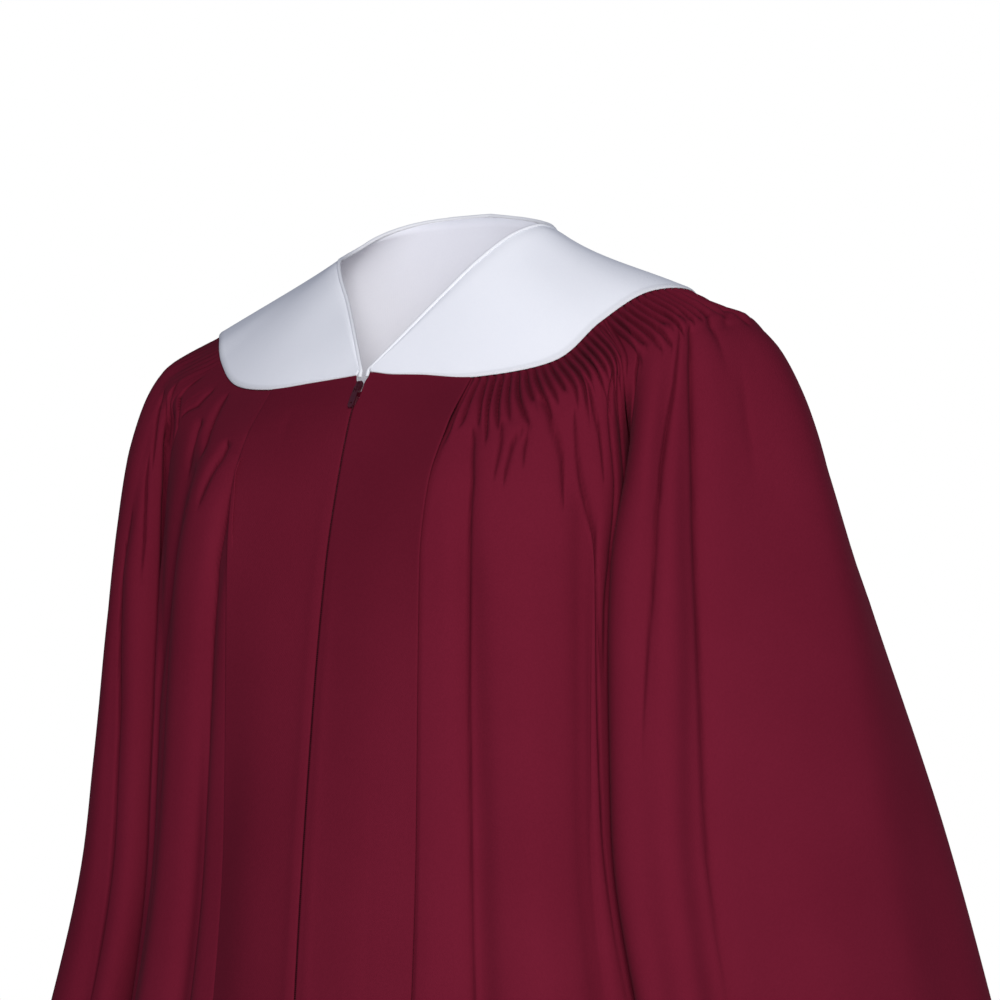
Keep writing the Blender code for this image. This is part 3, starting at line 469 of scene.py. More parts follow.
# %% Large folds: half width across, then (down, across, height)
# Heights are in mm and all else in thousandths of the piece.
FOLDS = {("side_front", 1): (
    (55, (50, 130, -2), (130, 180, -6), (280, 220, -7), (1000, 220, -12)),
    (110, (60, 340, 1), (130, 380, 4), (280, 420, 5), (1000, 420, 12)),
    (70, (50, 500, -1), (100, 620, -5), (280, 660, -5), (1000, 620, -12)),
    (60, (120, 60, 0), (400, 50, 3), (1000, 60, 8)),
    (70, (300, 840, 0), (600, 820, 4), (1000, 800, 9)),
), ("side_front", -1): (
    (55, (50, 10, -1), (100, 50, -5), (150, 110, -6), (280, 170, -7), (1000, 240, -12)),
    (90, (60, 220, 2), (130, 280, 4), (280, 350, 5), (1000, 430, 12)),
    (70, (70, 400, -4), (130, 480, -6), (200, 620, -5), (1000, 620, -11)),
    (60, (300, 60, 0), (600, 80, 3), (1000, 70, 7)),
    (70, (300, 840, 0), (600, 830, 4), (1000, 800, 9)),
), ("sleeve", 1): (
    (60, (200, 110, 0), (280, 130, 2), (360, 135, 4.5), (440, 135, 5.5), (600, 135, 4.5), (1000, 130, 3)),
    (200, (0, 550, 0), (30, 550, -1.8), (55, 550, -1.8), (80, 550, 1.2), (100, 550, -0.6), (130, 550, 0),
     (200, 550, -1.6), (270, 550, -3.2), (330, 550, -1.6), (400, 550, 0)),
    (30, (100, 300, -2), (200, 300, -5), (400, 240, -5), (550, 220, -1), (1000, 210, -4)),
    (30, (80, 360, -2), (200, 360, -6), (460, 350, -6), (700, 330, -6), (1000, 320, -9)),
    (35, (100, 430, -2), (300, 430, -3), (400, 430, 0), (1000, 430, 7)),
    (50, (200, 570, 0), (600, 550, -4), (1000, 540, -9)),
    (60, (200, 660, 2), (600, 670, 4), (1000, 680, 9)),
    (50, (150, 770, -2), (450, 780, -6), (1000, 790, -8)),
), ("sleeve", -1): (
    (160, (20, 300, 0), (60, 300, -2), (100, 300, -2.5), (140, 300, -1), (200, 300, 0), (270, 300, -1.5),
     (380, 300, -2.5), (500, 300, -1.5), (600, 300, 0)),
    (40, (100, 200, -1), (330, 260, -4), (510, 220, -5), (670, 210, -5), (1000, 210, -8)),
    (50, (100, 340, 0), (450, 340, 3), (1000, 330, 7)),
    (40, (100, 450, -2), (300, 450, -4), (600, 460, -3), (1000, 460, -7)),
    (60, (200, 600, 1), (600, 600, 4), (1000, 590, 8)),
    (45, (120, 710, -2), (400, 720, -5), (1000, 730, -9)),
    (50, (200, 830, 0), (600, 830, 3), (1000, 830, 5)),
), ("back", 1): (
    (60, (40, 340, -1), (130, 360, -5), (280, 360, -7), (1000, 350, -14)),
    (70, (50, 520, 1), (150, 520, 4), (400, 520, 6), (1000, 510, 13)),
    (55, (40, 680, -2), (130, 670, -5), (400, 670, -7), (1000, 670, -13)),
    (80, (50, 880, 1), (200, 880, 3), (500, 860, 5), (1000, 850, 12)),
    (60, (250, 170, 0), (500, 180, 4), (1000, 180, 10)),
), ("back", -1): (
    (55, (40, 420, -1), (130, 430, -6), (280, 430, -8), (1000, 440, -14)),
    (65, (50, 570, 1), (150, 580, 4), (400, 580, 5), (1000, 600, 12)),
    (60, (40, 750, -1), (130, 760, -4), (400, 760, -6), (1000, 760, -13)),
    (80, (50, 930, 0), (300, 930, 2), (600, 920, 4), (1000, 920, 9)),
    (70, (150, 250, 1), (400, 260, 4), (1000, 260, 12)),
)}

# %% Finer creases: flanks in mm towards the centre front and away from it, then the same three numbers
CREASES = {("side_front", 1): (
    (6, 2.6, (41, 127, 0), (53, 143, -2.6), (83, 170, -3), (95, 170, -3), (118, 176, -2.8), (150, 178, -2.4),
     (200, 178, -2), (300, 190, -1.6), (600, 200, -1.4), (850, 200, 0)),
    (2.4, 4, (30, 413, 0), (36, 427, -2), (47, 457, -3), (55, 473, -3.2), (63, 500, -3.2), (71, 520, -2.8),
     (83, 527, -2), (100, 530, 0)),
    (2.4, 4, (30, 630, 0), (40, 650, -2.6), (54, 680, -3), (62, 707, -2.4), (75, 715, -1.2), (85, 720, 0)),
    (2.5, 7, (50, 565, 0), (56, 570, -1.4), (68, 583, -2.2), (76, 597, -3), (86, 617, -4), (96, 640, -4.2),
     (111, 680, -4), (126, 713, -3.4), (137, 727, -2.6), (160, 750, -1.6), (200, 780, 0)),
    (3, 3, (38, 900, 0), (44, 883, -2.5), (50, 830, -2.5), (59, 790, -2.2), (67, 790, -2.5), (80, 800, -3),
     (93, 800, -3.5), (110, 810, -3.5), (128, 807, -3), (150, 790, -2), (200, 780, 0)),
    (3, 3, (36, 955, 0), (41, 947, -2), (52, 940, -2.4), (62, 933, -2.4), (69, 915, -2.4), (83, 880, -2),
     (100, 860, 0)),
    (2.2, 2.4, (52, 360, 0), (54, 350, -2.2), (58, 322, -2.4), (68, 313, -2), (77, 303, -1.6), (82, 300, -1),
     (88, 300, 0)),
    (2.2, 2.2, (56, 380, 0), (59, 377, -1.8), (65, 367, -1.8), (70, 370, -1.2), (76, 370, 0)),
    (2.2, 2.2, (40, 258, 0), (45, 263, -1.5), (57, 273, -2), (67, 270, -1.8), (77, 263, -1), (84, 260, 0)),
    (10, 12, (100, 680, 0), (125, 720, -2), (160, 740, -2.4), (250, 760, -1.6), (400, 780, 0)),
), ("side_front", -1): (
    (3, 3, (12, 995, 0), (18, 990, -1.4), (24, 973, -2.8), (29, 937, -3), (37, 783, -3.4), (45, 690, -2.4),
     (51, 700, -1), (58, 710, 0)),
    (3, 3, (10, 680, 0), (14, 663, -1), (25, 603, -1.4), (34, 647, -0.8), (40, 650, 0)),
    (4, 3, (6, 490, 0), (11, 473, -1.2), (22, 413, -2.6), (31, 370, -3.4), (41, 330, -2.4), (48, 310, -1.2),
     (55, 300, 0)),
    (3, 4, (29, 465, 0), (34, 460, -2.2), (44, 447, -2.8), (52, 443, -2.2), (59, 427, -1.2), (66, 420, 0)),
    (4, 3, (37, 138, 0), (42, 143, -2.6), (53, 150, -3.2), (61, 167, -2.8), (70, 173, -2), (80, 180, -1.2),
     (90, 190, 0)),
    (2.6, 8, (60, 340, 0), (69, 337, -2), (88, 303, -3), (99, 350, -3.2), (111, 370, -3), (126, 383, -2.8),
     (150, 400, -2.4), (250, 420, -2), (500, 430, 0)),
    (3, 5, (50, 0, 0), (55, 3, -2), (67, 13, -3), (78, 27, -3.2), (88, 47, -3.4), (100, 63, -3.6),
     (112, 83, -3.6), (123, 97, -3.2), (144, 103, -2.8), (168, 117, -2.4), (200, 123, -2), (300, 135, -1.6),
     (600, 150, 0)),
), ("sleeve", 1): (
    (2.6, 3, (85, 100, 0), (94, 103, -2.4), (116, 90, -2.6), (147, 87, -2.6), (182, 77, -2.2), (200, 100, -2),
     (220, 115, -1.8), (250, 120, 0)),
    (5, 3, (80, 325, 0), (100, 328, -1.5), (135, 323, -2.4), (165, 320, -2.8), (205, 307, -3.4),
     (227, 300, -3.6), (250, 290, -3.2), (280, 283, -3), (302, 270, -2.6), (364, 253, -2.2), (450, 235, -1.6),
     (600, 220, 0)),
    (3, 6, (85, 365, 0), (102, 367, -3), (144, 363, -4.2), (212, 365, -4.4), (267, 363, -4), (320, 360, -3.4),
     (374, 357, -3), (526, 353, -2.4), (700, 345, -2), (950, 335, 0)),
    (3, 4, (60, 410, 0), (73, 417, -2.6), (95, 413, -2.4), (125, 417, -1.6), (146, 417, -0.8), (170, 420, 0)),
    (3, 3, (55, 480, 0), (64, 473, -1.8), (90, 443, -1.6), (110, 440, 0)),
    (6, 6, (160, 435, 0), (190, 433, -1.4), (225, 430, -1.6), (245, 430, -1.2), (300, 430, 0)),
    (5, 3, (80, 750, 0), (130, 770, -3), (300, 780, -3.6), (550, 780, -2.2), (800, 785, 0)),
    (4, 5, (75, 630, 0), (110, 620, -2), (240, 610, -1.8), (400, 600, 0)),
), ("sleeve", -1): (
    (4, 3, (60, 100, 0), (81, 60, -2.4), (106, 50, -3), (133, 83, -3.8), (155, 103, -4.4), (180, 110, -4.4),
     (230, 117, -4), (320, 115, -3), (500, 107, -2), (700, 110, 0)),
    (5, 4, (250, 240, 0), (328, 260, -1.8), (510, 220, -2), (667, 210, -1.6), (900, 200, 0)),
    (5, 5, (90, 210, 0), (109, 207, -1.4), (141, 177, -1.6), (165, 167, -1.2), (190, 165, 0)),
    (6, 6, (180, 190, 0), (195, 190, -1.2), (235, 177, -1.4), (292, 163, -1), (350, 160, 0)),
    (4, 4, (80, 700, 0), (120, 710, -2.8), (350, 720, -3.4), (600, 725, -2), (850, 730, 0)),
    (5, 4, (85, 520, 0), (120, 510, -2), (300, 500, -2), (450, 490, 0)),
), ("back", 1): (
    (7, 3, (45, 330, 0), (65, 345, -3), (140, 360, -3.6), (300, 360, -2.2), (500, 355, 0)),
    (3, 6, (45, 660, 0), (70, 670, -3), (150, 670, -3.2), (320, 670, -2), (500, 670, 0)),
    (3, 3, (40, 500, 0), (60, 490, -2), (85, 480, 0)),
    (3, 4, (40, 810, 0), (55, 820, -2.2), (95, 830, 0)),
    (4, 3, (42, 200, 0), (62, 190, -2.2), (100, 180, 0)),
), ("back", -1): (
    (7, 3, (42, 410, 0), (60, 420, -3), (130, 430, -3.8), (270, 430, -2.4), (500, 435, 0)),
    (3, 6, (45, 740, 0), (70, 750, -2.4), (150, 760, -3), (320, 760, -1.6), (500, 760, 0)),
    (3, 4, (38, 600, 0), (56, 610, -2.2), (90, 620, 0)),
    (4, 3, (40, 280, 0), (60, 270, -2.4), (110, 250, 0)),
    (3, 3, (40, 900, 0), (58, 900, -2), (85, 890, 0)),
), ("front_panel", 1): (
    (4, 8, (100, 70, 0), (200, 80, 0.8), (500, 80, 1), (1000, 90, 1)),
    (20, 20, (200, 600, 0), (600, 600, -1.2), (1000, 600, -2.2)),
), ("front_panel", -1): (
    (3, 6, (60, 60, 0), (120, 60, 0.6), (500, 60, 0.8), (1000, 70, 0.9)),
    (24, 20, (20, 620, 0), (35, 620, -0.5), (60, 600, 0), (500, 600, 0), (1000, 580, -2)),
)}
print("large folds", sum(map(len, FOLDS.values())), "finer creases", sum(map(len, CREASES.values())))


# %% Height of the folds over the smooth surface
DIVE = {  # (thousandths down the piece, depth in mm)
    1: ((0, 1), (10, 2.2), (24, 3.8), (42, 3.8), (55, 1.6), (80, 1), (140, 0.8), (300, 0.5), (1000, 0.5)),
    -1: ((0, 0.5), (32, 0.8), (38, 3), (48, 3), (55, 1.5), (100, 0.8), (1000, 0.6)),
}
CREASE_LINE = {1: 1.3, -1: 3.0}  # half width in mm of the sharp line in a crease's bottom
CREASE_DEPTH = {1: 1.0, -1: 1.3}
SEAM_EASE = {"side_front": 0.014, "front_panel": 0.02}  # share across in which folds rise from a piece's edge


def fold_height(piece, side, u, v):
    height = np.zeros((len(v), len(u)))
    for half_width, *path in FOLDS.get((piece, side), ()):
        down, across, depth = np.array(path).T / 1000
        centre = np.interp(v, down, across)
        depth = np.interp(v, down, depth) * smooth((v - down[0] + 0.03) / 0.03)
        across = (u[None, :] - centre[:, None]) / (half_width / 1000)
        height += depth[:, None] * np.exp(-across * across)
    cloth = surface(piece, side, np.linspace(0, 1, 41), v)
    width = np.linalg.norm(np.diff(cloth, axis=1), axis=2).sum(axis=1)
    for near, far, *path in CREASES.get((piece, side), ()):
        down, across, depth = np.array(path).T / 1000
        inside = (v >= down[0]) & (v <= down[-1])
        centre = np.interp(v, down, across)
        depth = np.interp(v, down, depth) * inside * CREASE_DEPTH[side]
        offset = (u[None, :] - centre[:, None]) * width[:, None] * 1000
        line = np.maximum(CREASE_LINE[side], 1400 * width / len(u))[:, None]
        flank = 0.6 * np.exp(-(np.abs(offset) / np.where(offset < 0, near, far)) ** 1.3)
        height += depth[:, None] * (flank + 0.7 * np.exp(-(np.abs(offset) / line) ** 1.6))
    edge = smooth(u / SEAM_EASE.get(piece, 0.05))
    if piece not in ("back", "front_panel"):
        edge = edge * smooth((1 - u) / 0.05)
    height *= edge[None, :]
    if piece == "side_front":  # the cloth dives beside the panel's edge
        dive = np.interp(v, *np.array(DIVE[side]).T / 1000)[:, None]
        height -= dive * np.exp(-(u[None, :] * width[:, None] * 1000 / 2.2) ** 1.5)
    return height


# %% Height of the flutes
FLUTES = {"side_front": 19, "sleeve": 23, "back": 32}
FLUTE_HEIGHT = 0.0042
FLUTE_END = {"side_front": 0.049, "sleeve": 0.098, "back": 0.052}  # share down where they have melted away
LEAN = {  # how far a flute has moved across by the time it ends, by where it ends, in thousandths
    "side_front": ((0, 0), (80, 20), (130, 65), (200, 55), (300, 75), (400, 110), (500, 100), (600, 70),
                   (670, 70), (750, 100), (840, 115), (950, 100), (1000, 90)),
    "sleeve": ((0, 70), (60, 100), (123, 125), (190, 150), (250, 165), (300, 160), (350, 120), (390, 60),
               (430, 10), (500, -20), (600, -50), (690, -70), (800, -60), (920, -40), (1000, 0)),
    "back": ((0, 0), (120, -20), (400, -30), (700, -10), (1000, 0)),
}
STRENGTH = {("side_front", -1): 0.004, ("sleeve", -1): 0.03}  # flatter where the shoulder pulls the cloth


def by_hand(piece, side, low, high):
    """An uneven value for every flute, the same on each run."""
    seed = {"side_front": 3, "sleeve": 5, "back": 9}[piece] + (0 if side == 1 else 40)
    return np.random.default_rng(seed).uniform(low, high, (3, FLUTES[piece] + 2))


def along_edge(piece, side, u):
    """Share of the yoke's edge passed at each share across a piece, so that flutes have one width."""
    steps = np.linspace(0, 1, 101)
    run = run_along(yoke_lines(side, edge_share(piece, side, steps))[1])
    return np.interp(u, steps, run / run[-1])


def flute_height(piece, side, u, v):
    count, end = FLUTES[piece], FLUTE_END[piece]
    lean = np.interp(u, *np.array(LEAN[piece]).T / 1000)
    start = u[None, :] - lean[None, :] * np.clip(v / end, 0, 1.15)[:, None]
    phase = along_edge(piece, side, np.clip(start, 0, 1)) * count
    ridge_no = np.minimum(phase.astype(int), count - 1)
    spread, reach, depths = by_hand(piece, side, 0.0, 1.0)
    lowest, highest = 0.006 ** 0.25, 1.006 ** 0.25
    ridge = ((np.sin(math.pi * phase) ** 2 + 0.006) ** 0.25 - lowest) / (highest - lowest)
    steps = np.arange(count + 2)
    valley = 0.6 + 0.8 * np.interp(phase, steps, depths)
    valley_end = end * (0.72 + 0.55 * np.interp(phase, steps, reach))
    ridge_end = end * (0.70 + 0.35 * reach[ridge_no])
    rise = 0.40 + 0.60 * smooth(v / (0.18 * end))[:, None]
    up = rise * (1 - smooth((v[:, None] / ridge_end - 0.5) / 0.6))
    dip = rise * (1 - smooth((v[:, None] / valley_end - 0.70) / 0.30))
    height = ridge * (0.35 + 0.35 * spread[ridge_no]) * up - (1 - ridge) * valley * 0.90 * dip
    edge = smooth(u / 0.02)
    if piece != "back":
        edge = edge * smooth((1 - u) / 0.02)
    return height * edge[None, :] * FLUTE_HEIGHT * STRENGTH.get((piece, side), 1.0)


probe = flute_height("side_front", 1, np.linspace(0, 1, 400), np.array([0.02]))
print("flutes stand", round(float(probe.max() - probe.min()) * 1000, 2), "mm from valley to top")

# %% [markdown]
# ## Making a sheet of cloth
# Each piece starts as a flat grid with as many columns and rows as it needs, is laid on its surface, gets a
# lengthwise grain as a UV map in metres, and is given its thickness by Solidify. The rows crowd together
# under the yoke, where the flutes are, and spread out below. At the hem the sheet turns up inside itself.

# %% Rows and columns, and what each piece was cut to
CLOTH = 0.0008
HEM_ROLL = 0.0011
BODY_HEM, SLEEVE_HEM = 0.034, 0.06
CUTS = {  # width, length and area in metres
    "side_front": (0.42, 1.26, 0.40),
    "sleeve": (0.72, 0.60, 0.36),
    "front_panel": (0.11, 1.25, 0.125),
}
BACK_WIDTH = 1.10


def spaced(*runs):
    """Shares from 0 to 1 in runs of (up to, how many steps)."""
    made = [0.0]
    for upto, steps in runs:
        made += list(np.linspace(made[-1], upto, steps + 1)[1:])
    return np.array(made)


def with_hem(v, depth):
    """Rows of (share down, lift, drop): down the piece, round the fold, and up inside."""
    rows = [(x, 0.0, 0.0) for x in v]
    for turn in (45, 90, 135):
        a = math.radians(turn)
        rows.append((1.0, -HEM_ROLL * (1 - math.cos(a)), HEM_ROLL * math.sin(a)))
    rows += [(1.0, -2 * HEM_ROLL, 0.0)]
    rows += [(1.0 - depth * s, -2 * HEM_ROLL, 0.0) for s in (0.25, 0.5, 0.75, 0.97, 1.0)]
    return rows


BODY_ROWS = spaced((0.05, 34), (0.14, 26), (0.40, 30), (1.0, 26))
BACK_ROWS = spaced((0.05, 22), (0.14, 18), (0.40, 20), (1.0, 22))
SLEEVE_ROWS = spaced((0.11, 36), (0.30, 22), (1.0, 34))
TUCK = 0.0035
print("body rows", len(BODY_ROWS), "sleeve rows", len(SLEEVE_ROWS))


# %% A grid laid on a surface
def shares_of(rows):
    return np.array([r[0] for r in rows])


def facing_of(piece, side, u, rows):
    """Outward directions for the same rows as sheet_points."""
    facing = normals(piece, side, u, shares_of(rows))
    return np.concatenate([facing[:1], facing])


ALLOWANCE = {  # how far on and how deep the two added columns lie
    "in": ((0, 0.0008), (0, 0.0042)),
    "under": ((0.0010, 0.0002), (0.0055, 0.0003)),
    "behind": ((0.0012, 0.0011), (0.0060, 0.0016)),
}


def with_allowance(points, facing, across, first, last):
    """Add the edge behind a seam: it turns "in", or slides "under" a panel or "behind" a neighbour."""
    for end, way in ((0, first), (-1, last)):
        if not way:
            continue
        edge, out = points[:, end], facing[:, end]
        along = unit(edge - points[:, 1 if end == 0 else -2])
        extra = [edge + along * away - out * deep for away, deep in ALLOWANCE[way]]
        run = np.array([0.001, 0.005])
        if end == 0:
            points = np.concatenate([np.stack(extra[::-1], axis=1), points], axis=1)
            across = np.concatenate([across[0] - run[::-1], across])
        else:
            points = np.concatenate([points, np.stack(extra, axis=1)], axis=1)
            across = np.concatenate([across, across[-1] + run])
        facing = np.insert(facing, [0, 0] if end == 0 else [facing.shape[1]] * 2, out[:, None], axis=1)
    return points, facing, across


def sheet_points(piece, side, u, rows, lift):
    """Points of a sheet, a row tucked under the yoke and then its rows of (share down, lift, drop)."""
    v = shares_of(rows)
    base, normal = surface(piece, side, u, v), normals(piece, side, u, v)
    down = surface(piece, side, u, np.array([1.0])) - surface(piece, side, u, np.array([0.99]))
    height = fold_height(piece, side, u, v) + lift + np.array([r[1] for r in rows])[:, None]
    if piece in FLUTES:
        height = height + flute_height(piece, side, u, v)
    drop = np.array([r[2] for r in rows])[:, None, None]
    points = base + normal * height[:, :, None] + unit(down) * drop
    out = yoke_frame(side, edge_share(piece, side, u))[2]
    return np.concatenate([points[:1] - out * TUCK, points])


def lay_grid(name, points, across, along, facing):
    """A flat grid with a column and row for each point, laid on them; its UV is the grain in metres."""
    rows, columns = points.shape[:2]
    bpy.ops.object.select_all(action="DESELECT")
    bpy.ops.mesh.primitive_grid_add(x_subdivisions=columns - 1, y_subdivisions=rows - 1, size=1)
    sheet = bpy.context.object
    sheet.name = name
    flat = np.empty(len(sheet.data.vertices) * 3)
    sheet.data.vertices.foreach_get("co", flat)
    flat = flat.reshape(-1, 3)
    i = np.rint((flat[:, 0] + 0.5) * (columns - 1)).astype(int)
    j = np.rint((0.5 - flat[:, 1]) * (rows - 1)).astype(int)
    sheet.data.vertices.foreach_set("co", points[j, i].ravel())
    corner_of = np.empty(len(sheet.data.loops), int)
    sheet.data.loops.foreach_get("vertex_index", corner_of)
    grain = np.stack([across[i], along[j]], axis=1)[corner_of]
    sheet.data.uv_layers[0].data.foreach_set("uv", grain.ravel())
    sheet.data.update()
    face = sheet.data.polygons[len(sheet.data.polygons) // 3]
    first = face.vertices[0]
    if Vector(facing[j[first], i[first]]).dot(face.normal) < 0:
        edit(sheet, bpy.ops.mesh.flip_normals)
    return sheet


def keep_painted_shade(sheet, painted_shade):
    """Write painted shade for each row and column on the sheet's points; a grid's own rows start at its foot.
    """
    sheet.data.attributes.new("painted_shade", "FLOAT", "POINT").data.foreach_set("value", painted_shade[::-1].ravel())
    print(sheet.name, "share of points in a crease", round(float((painted_shade > 0.3).mean()), 3))


def paint_crease_shade(sheet, points, facing, sharp):
    """Keep on each point, as painted shade for the cloth's colour, how sharply the cloth turns inwards, up to
    1 where its bend is as sharp as that.
    """
    reach = points[:, 2:] - points[:, :-2]
    step = (reach * reach).sum(axis=2) / 4
    bend = np.zeros(points.shape[:2])
    turn = points[:, 2:] + points[:, :-2] - 2 * points[:, 1:-1]
    bend[:, 1:-1] = (turn * facing[:, 1:-1]).sum(axis=2) / step
    bend[:, :4] = bend[:, -4:] = 0
    bend = np.clip(bend, 0, 700)
    bend[:, 1:-1] = (bend[:, 2:] + bend[:, :-2] + 4 * bend[:, 1:-1]) / 6
    bend[1:-1] = (bend[2:] + bend[:-2] + 2 * bend[1:-1]) / 4
    keep_painted_shade(sheet, smooth(bend / sharp))


def thicken(sheet, thick, finish):
    """Give a sheet its finish and its thickness, inward from its face, and smooth its shading."""
    sheet.data.materials.append(finish)
    wall = sheet.modifiers.new("wall", "SOLIDIFY")
    wall.thickness = thick
    wall.offset = -1
    wall.use_even_offset = False
    settle(sheet)
    bpy.ops.object.shade_smooth()
    return sheet

# %% [markdown]
# ## Cloth finishes
# Woven cloth needs three things to read as cloth: a weave that is only just visible, a nap that softens the
# light at grazing angles, and small drifts of tone where the yarn or dye varies. The weave and the tone
# drift are shader node groups, because the burgundy cloth, the white yoke, its lining and the zip tape all
# use them.

# %% Node group: a twill weave from the grain map
def new_group(name, inputs, outputs, gives="Float"):
    """A node group; each input is a name, a kind of socket and perhaps a default."""
    tree = bpy.data.node_groups.new(name, "ShaderNodeTree")
    for label, kind, *default in inputs:
        socket = tree.interface.new_socket(name=label, in_out="INPUT", socket_type="NodeSocket" + kind)
        if default:
            socket.default_value = default[0]
    for label in outputs:
        tree.interface.new_socket(name=label, in_out="OUTPUT", socket_type="NodeSocket" + gives)
    return tree, tree.nodes.new("NodeGroupInput").outputs, tree.nodes.new("NodeGroupOutput")


twill, given, result = new_group(
    "twill_weave", [("Grain", "Vector"), ("Threads", "Float", 1800.0)], ["Height"])
apart = add(twill, "SeparateXYZ", Vector=given["Grain"]).outputs
warp = maths(twill, "MULTIPLY", apart["X"], given["Threads"])
weft = maths(twill, "MULTIPLY", apart["Y"], given["Threads"])
rib = maths(twill, "SINE", maths(twill, "MULTIPLY", maths(twill, "ADD", warp, weft), math.pi / 2))
cross = maths(twill, "SINE", maths(twill, "MULTIPLY", maths(twill, "SUBTRACT", warp, weft), math.pi))
woven = maths(twill, "ADD", maths(twill, "MULTIPLY", rib, 0.35), maths(twill, "MULTIPLY", cross, 0.12))
fill(twill, result, Height=maths(twill, "ADD", woven, 0.5))
print("twill group nodes", len(twill.nodes))

# %% Node group: drifting tone and fibre
drift, given, result = new_group(
    "cloth_drift", [("Place", "Vector"), ("Broad", "Float", 9.0), ("Fine", "Float", 620.0)],
    ["Tone", "Fibre"])
broad = add(drift, "TexNoise", Vector=given["Place"], Scale=given["Broad"], Detail=3)
fine = add(drift, "TexNoise", Vector=given["Place"], Scale=given["Fine"], Detail=2, Roughness=0.7)
fill(drift, result, Tone=broad.outputs["Fac"], Fibre=fine.outputs["Fac"])
print("drift group nodes", len(drift.nodes))

# %% Node group: painted shade, the cloth's colour darker in the bottom of a sharp crease
shaded, given, result = new_group(
    "crease_shade", [("Colour", "Color"), ("Hollow", "Float", 0.0), ("Depth", "Float", 0.38)],
    ["Colour"], "Color")
kept = maths(shaded, "SUBTRACT", 1.0, maths(shaded, "MULTIPLY", given["Hollow"], given["Depth"]))
deeper = add(shaded, "VectorMath", [("operation", "SCALE")], Vector=given["Colour"], Scale=kept)
fill(shaded, result, Colour=deeper.outputs[0])
print("crease group nodes", len(shaded.nodes))


# %% A cloth material from the three groups
def cloth_finish(name, dark, light, rough, gloss, sheen, tint, threads, weave_depth, fibre_depth):
    """Woven cloth: tone from dark to light, painted shade in sharp creases, a weave and fibre in the bump,
    and a soft sheen.
    """
    material, tree, shader = new_material(name)
    place = add(tree, "TexCoord").outputs
    tone = add(tree, "Group", [("node_tree", drift)], Place=place["Object"]).outputs
    weave = add(tree, "Group", [("node_tree", twill)], Threads=threads, Grain=place["UV"]).outputs
    fibre = maths(tree, "MULTIPLY", tone["Fibre"], 0.45)
    ramp = add(tree, "ValToRGB", Fac=maths(tree, "ADD", maths(tree, "MULTIPLY", tone["Tone"], 0.55), fibre))
    for stop, at, colour in zip(ramp.color_ramp.elements, (0.30, 0.70), (dark, light)):
        stop.position, stop.color = at, (*colour, 1)
    # Painted shade: the colour is darkened where the point's stored crease value is high.
    painted_shade = add(tree, "Attribute", [("attribute_name", "painted_shade")]).outputs["Fac"]
    creased = add(tree, "Group", [("node_tree", shaded)], Colour=ramp.outputs["Color"], Hollow=painted_shade)
    threaded = add(tree, "Bump", Strength=1.0, Distance=weave_depth, Height=weave["Height"])
    fibrous = add(tree, "Bump", Distance=fibre_depth, Height=tone["Fibre"], Normal=threaded.outputs["Normal"])
    roughness = maths(tree, "ADD", maths(tree, "MULTIPLY", tone["Fibre"], 0.12), rough - 0.06)
    fill(tree, shader, Base_Color=creased.outputs["Colour"], Roughness=roughness, Specular_IOR_Level=gloss,
         Normal=fibrous.outputs["Normal"], Sheen_Weight=sheen, Sheen_Roughness=0.45, Sheen_Tint=(*tint, 1))
    return material


WHITE = (1, 1, 1)
ROSE = (1.0, 0.50, 0.60)
burgundy = cloth_finish(
    "burgundy_twill", (0.128, 0.0088, 0.0228), (0.149, 0.0110, 0.0274),
    rough=0.80, gloss=0.0, sheen=0.02, tint=ROSE, threads=1800, weave_depth=0.00005, fibre_depth=0.00009)
# The straight panels get a darker copy of the burgundy twill, painted shade, so they read a little darker
# than the gathers.
panel_burgundy_shaded = cloth_finish(
    "burgundy_twill_panel_shaded", (0.115, 0.0082, 0.0207), (0.134, 0.0100, 0.0246),
    rough=0.84, gloss=0.0, sheen=0.015, tint=ROSE, threads=1800, weave_depth=0.00005, fibre_depth=0.00009)
white_cloth = cloth_finish(
    "white_yoke_twill", (0.915, 0.922, 0.972), (0.945, 0.950, 0.990),
    rough=0.75, gloss=0.06, sheen=0.08, tint=WHITE, threads=1800, weave_depth=0.00004, fibre_depth=0.00006)
lining_cloth = cloth_finish(
    "white_lining", (0.86, 0.862, 0.94), (0.89, 0.892, 0.96),
    rough=0.8, gloss=0.06, sheen=0.05, tint=WHITE, threads=2200, weave_depth=0.00004, fibre_depth=0.00005)
# The neck roll gets a darker copy of the white cloth: painted shade where the roll faces the lamp.
neck_roll_shaded_white = cloth_finish(
    "white_neck_roll_shaded", (0.83, 0.835, 0.87), (0.86, 0.865, 0.90),
    rough=0.7, gloss=0.06, sheen=0.08, tint=WHITE, threads=2200, weave_depth=0.00005, fibre_depth=0.00004)
tape_cloth = cloth_finish(
    "burgundy_zip_tape", (0.085, 0.006, 0.016), (0.105, 0.008, 0.021),
    rough=0.85, gloss=0.02, sheen=0.05, tint=(1, 0.7, 0.75), threads=1100, weave_depth=0.00010,
    fibre_depth=0.00005)
print("cloth finishes", [m.name for m in bpy.data.materials])


# %% [markdown]
# ## Side fronts, sleeves and back
# These are the gathered pieces. On the real robe a straight width of twill is drawn up on threads until it
# fits the yoke, so each is a sheet whose top is fluted and whose foot hangs free. Each is laid from the
# same recipe, left and right with their own folds, since no two sides of a worn robe hang alike.

# %% Gathered pieces
def lengths_down(points):
    """How far down the cloth each row lies, measured along the middle column."""
    return run_along(points[:, points.shape[1] // 2])


SIDE = {1: "left", -1: "right"}
# Painted shade in creases: side -1 reaches full painted shade at a gentler bend than side 1.
SHARP = {1: 420, -1: 190}  # the bend, in 1/m, at which a crease has its full shade


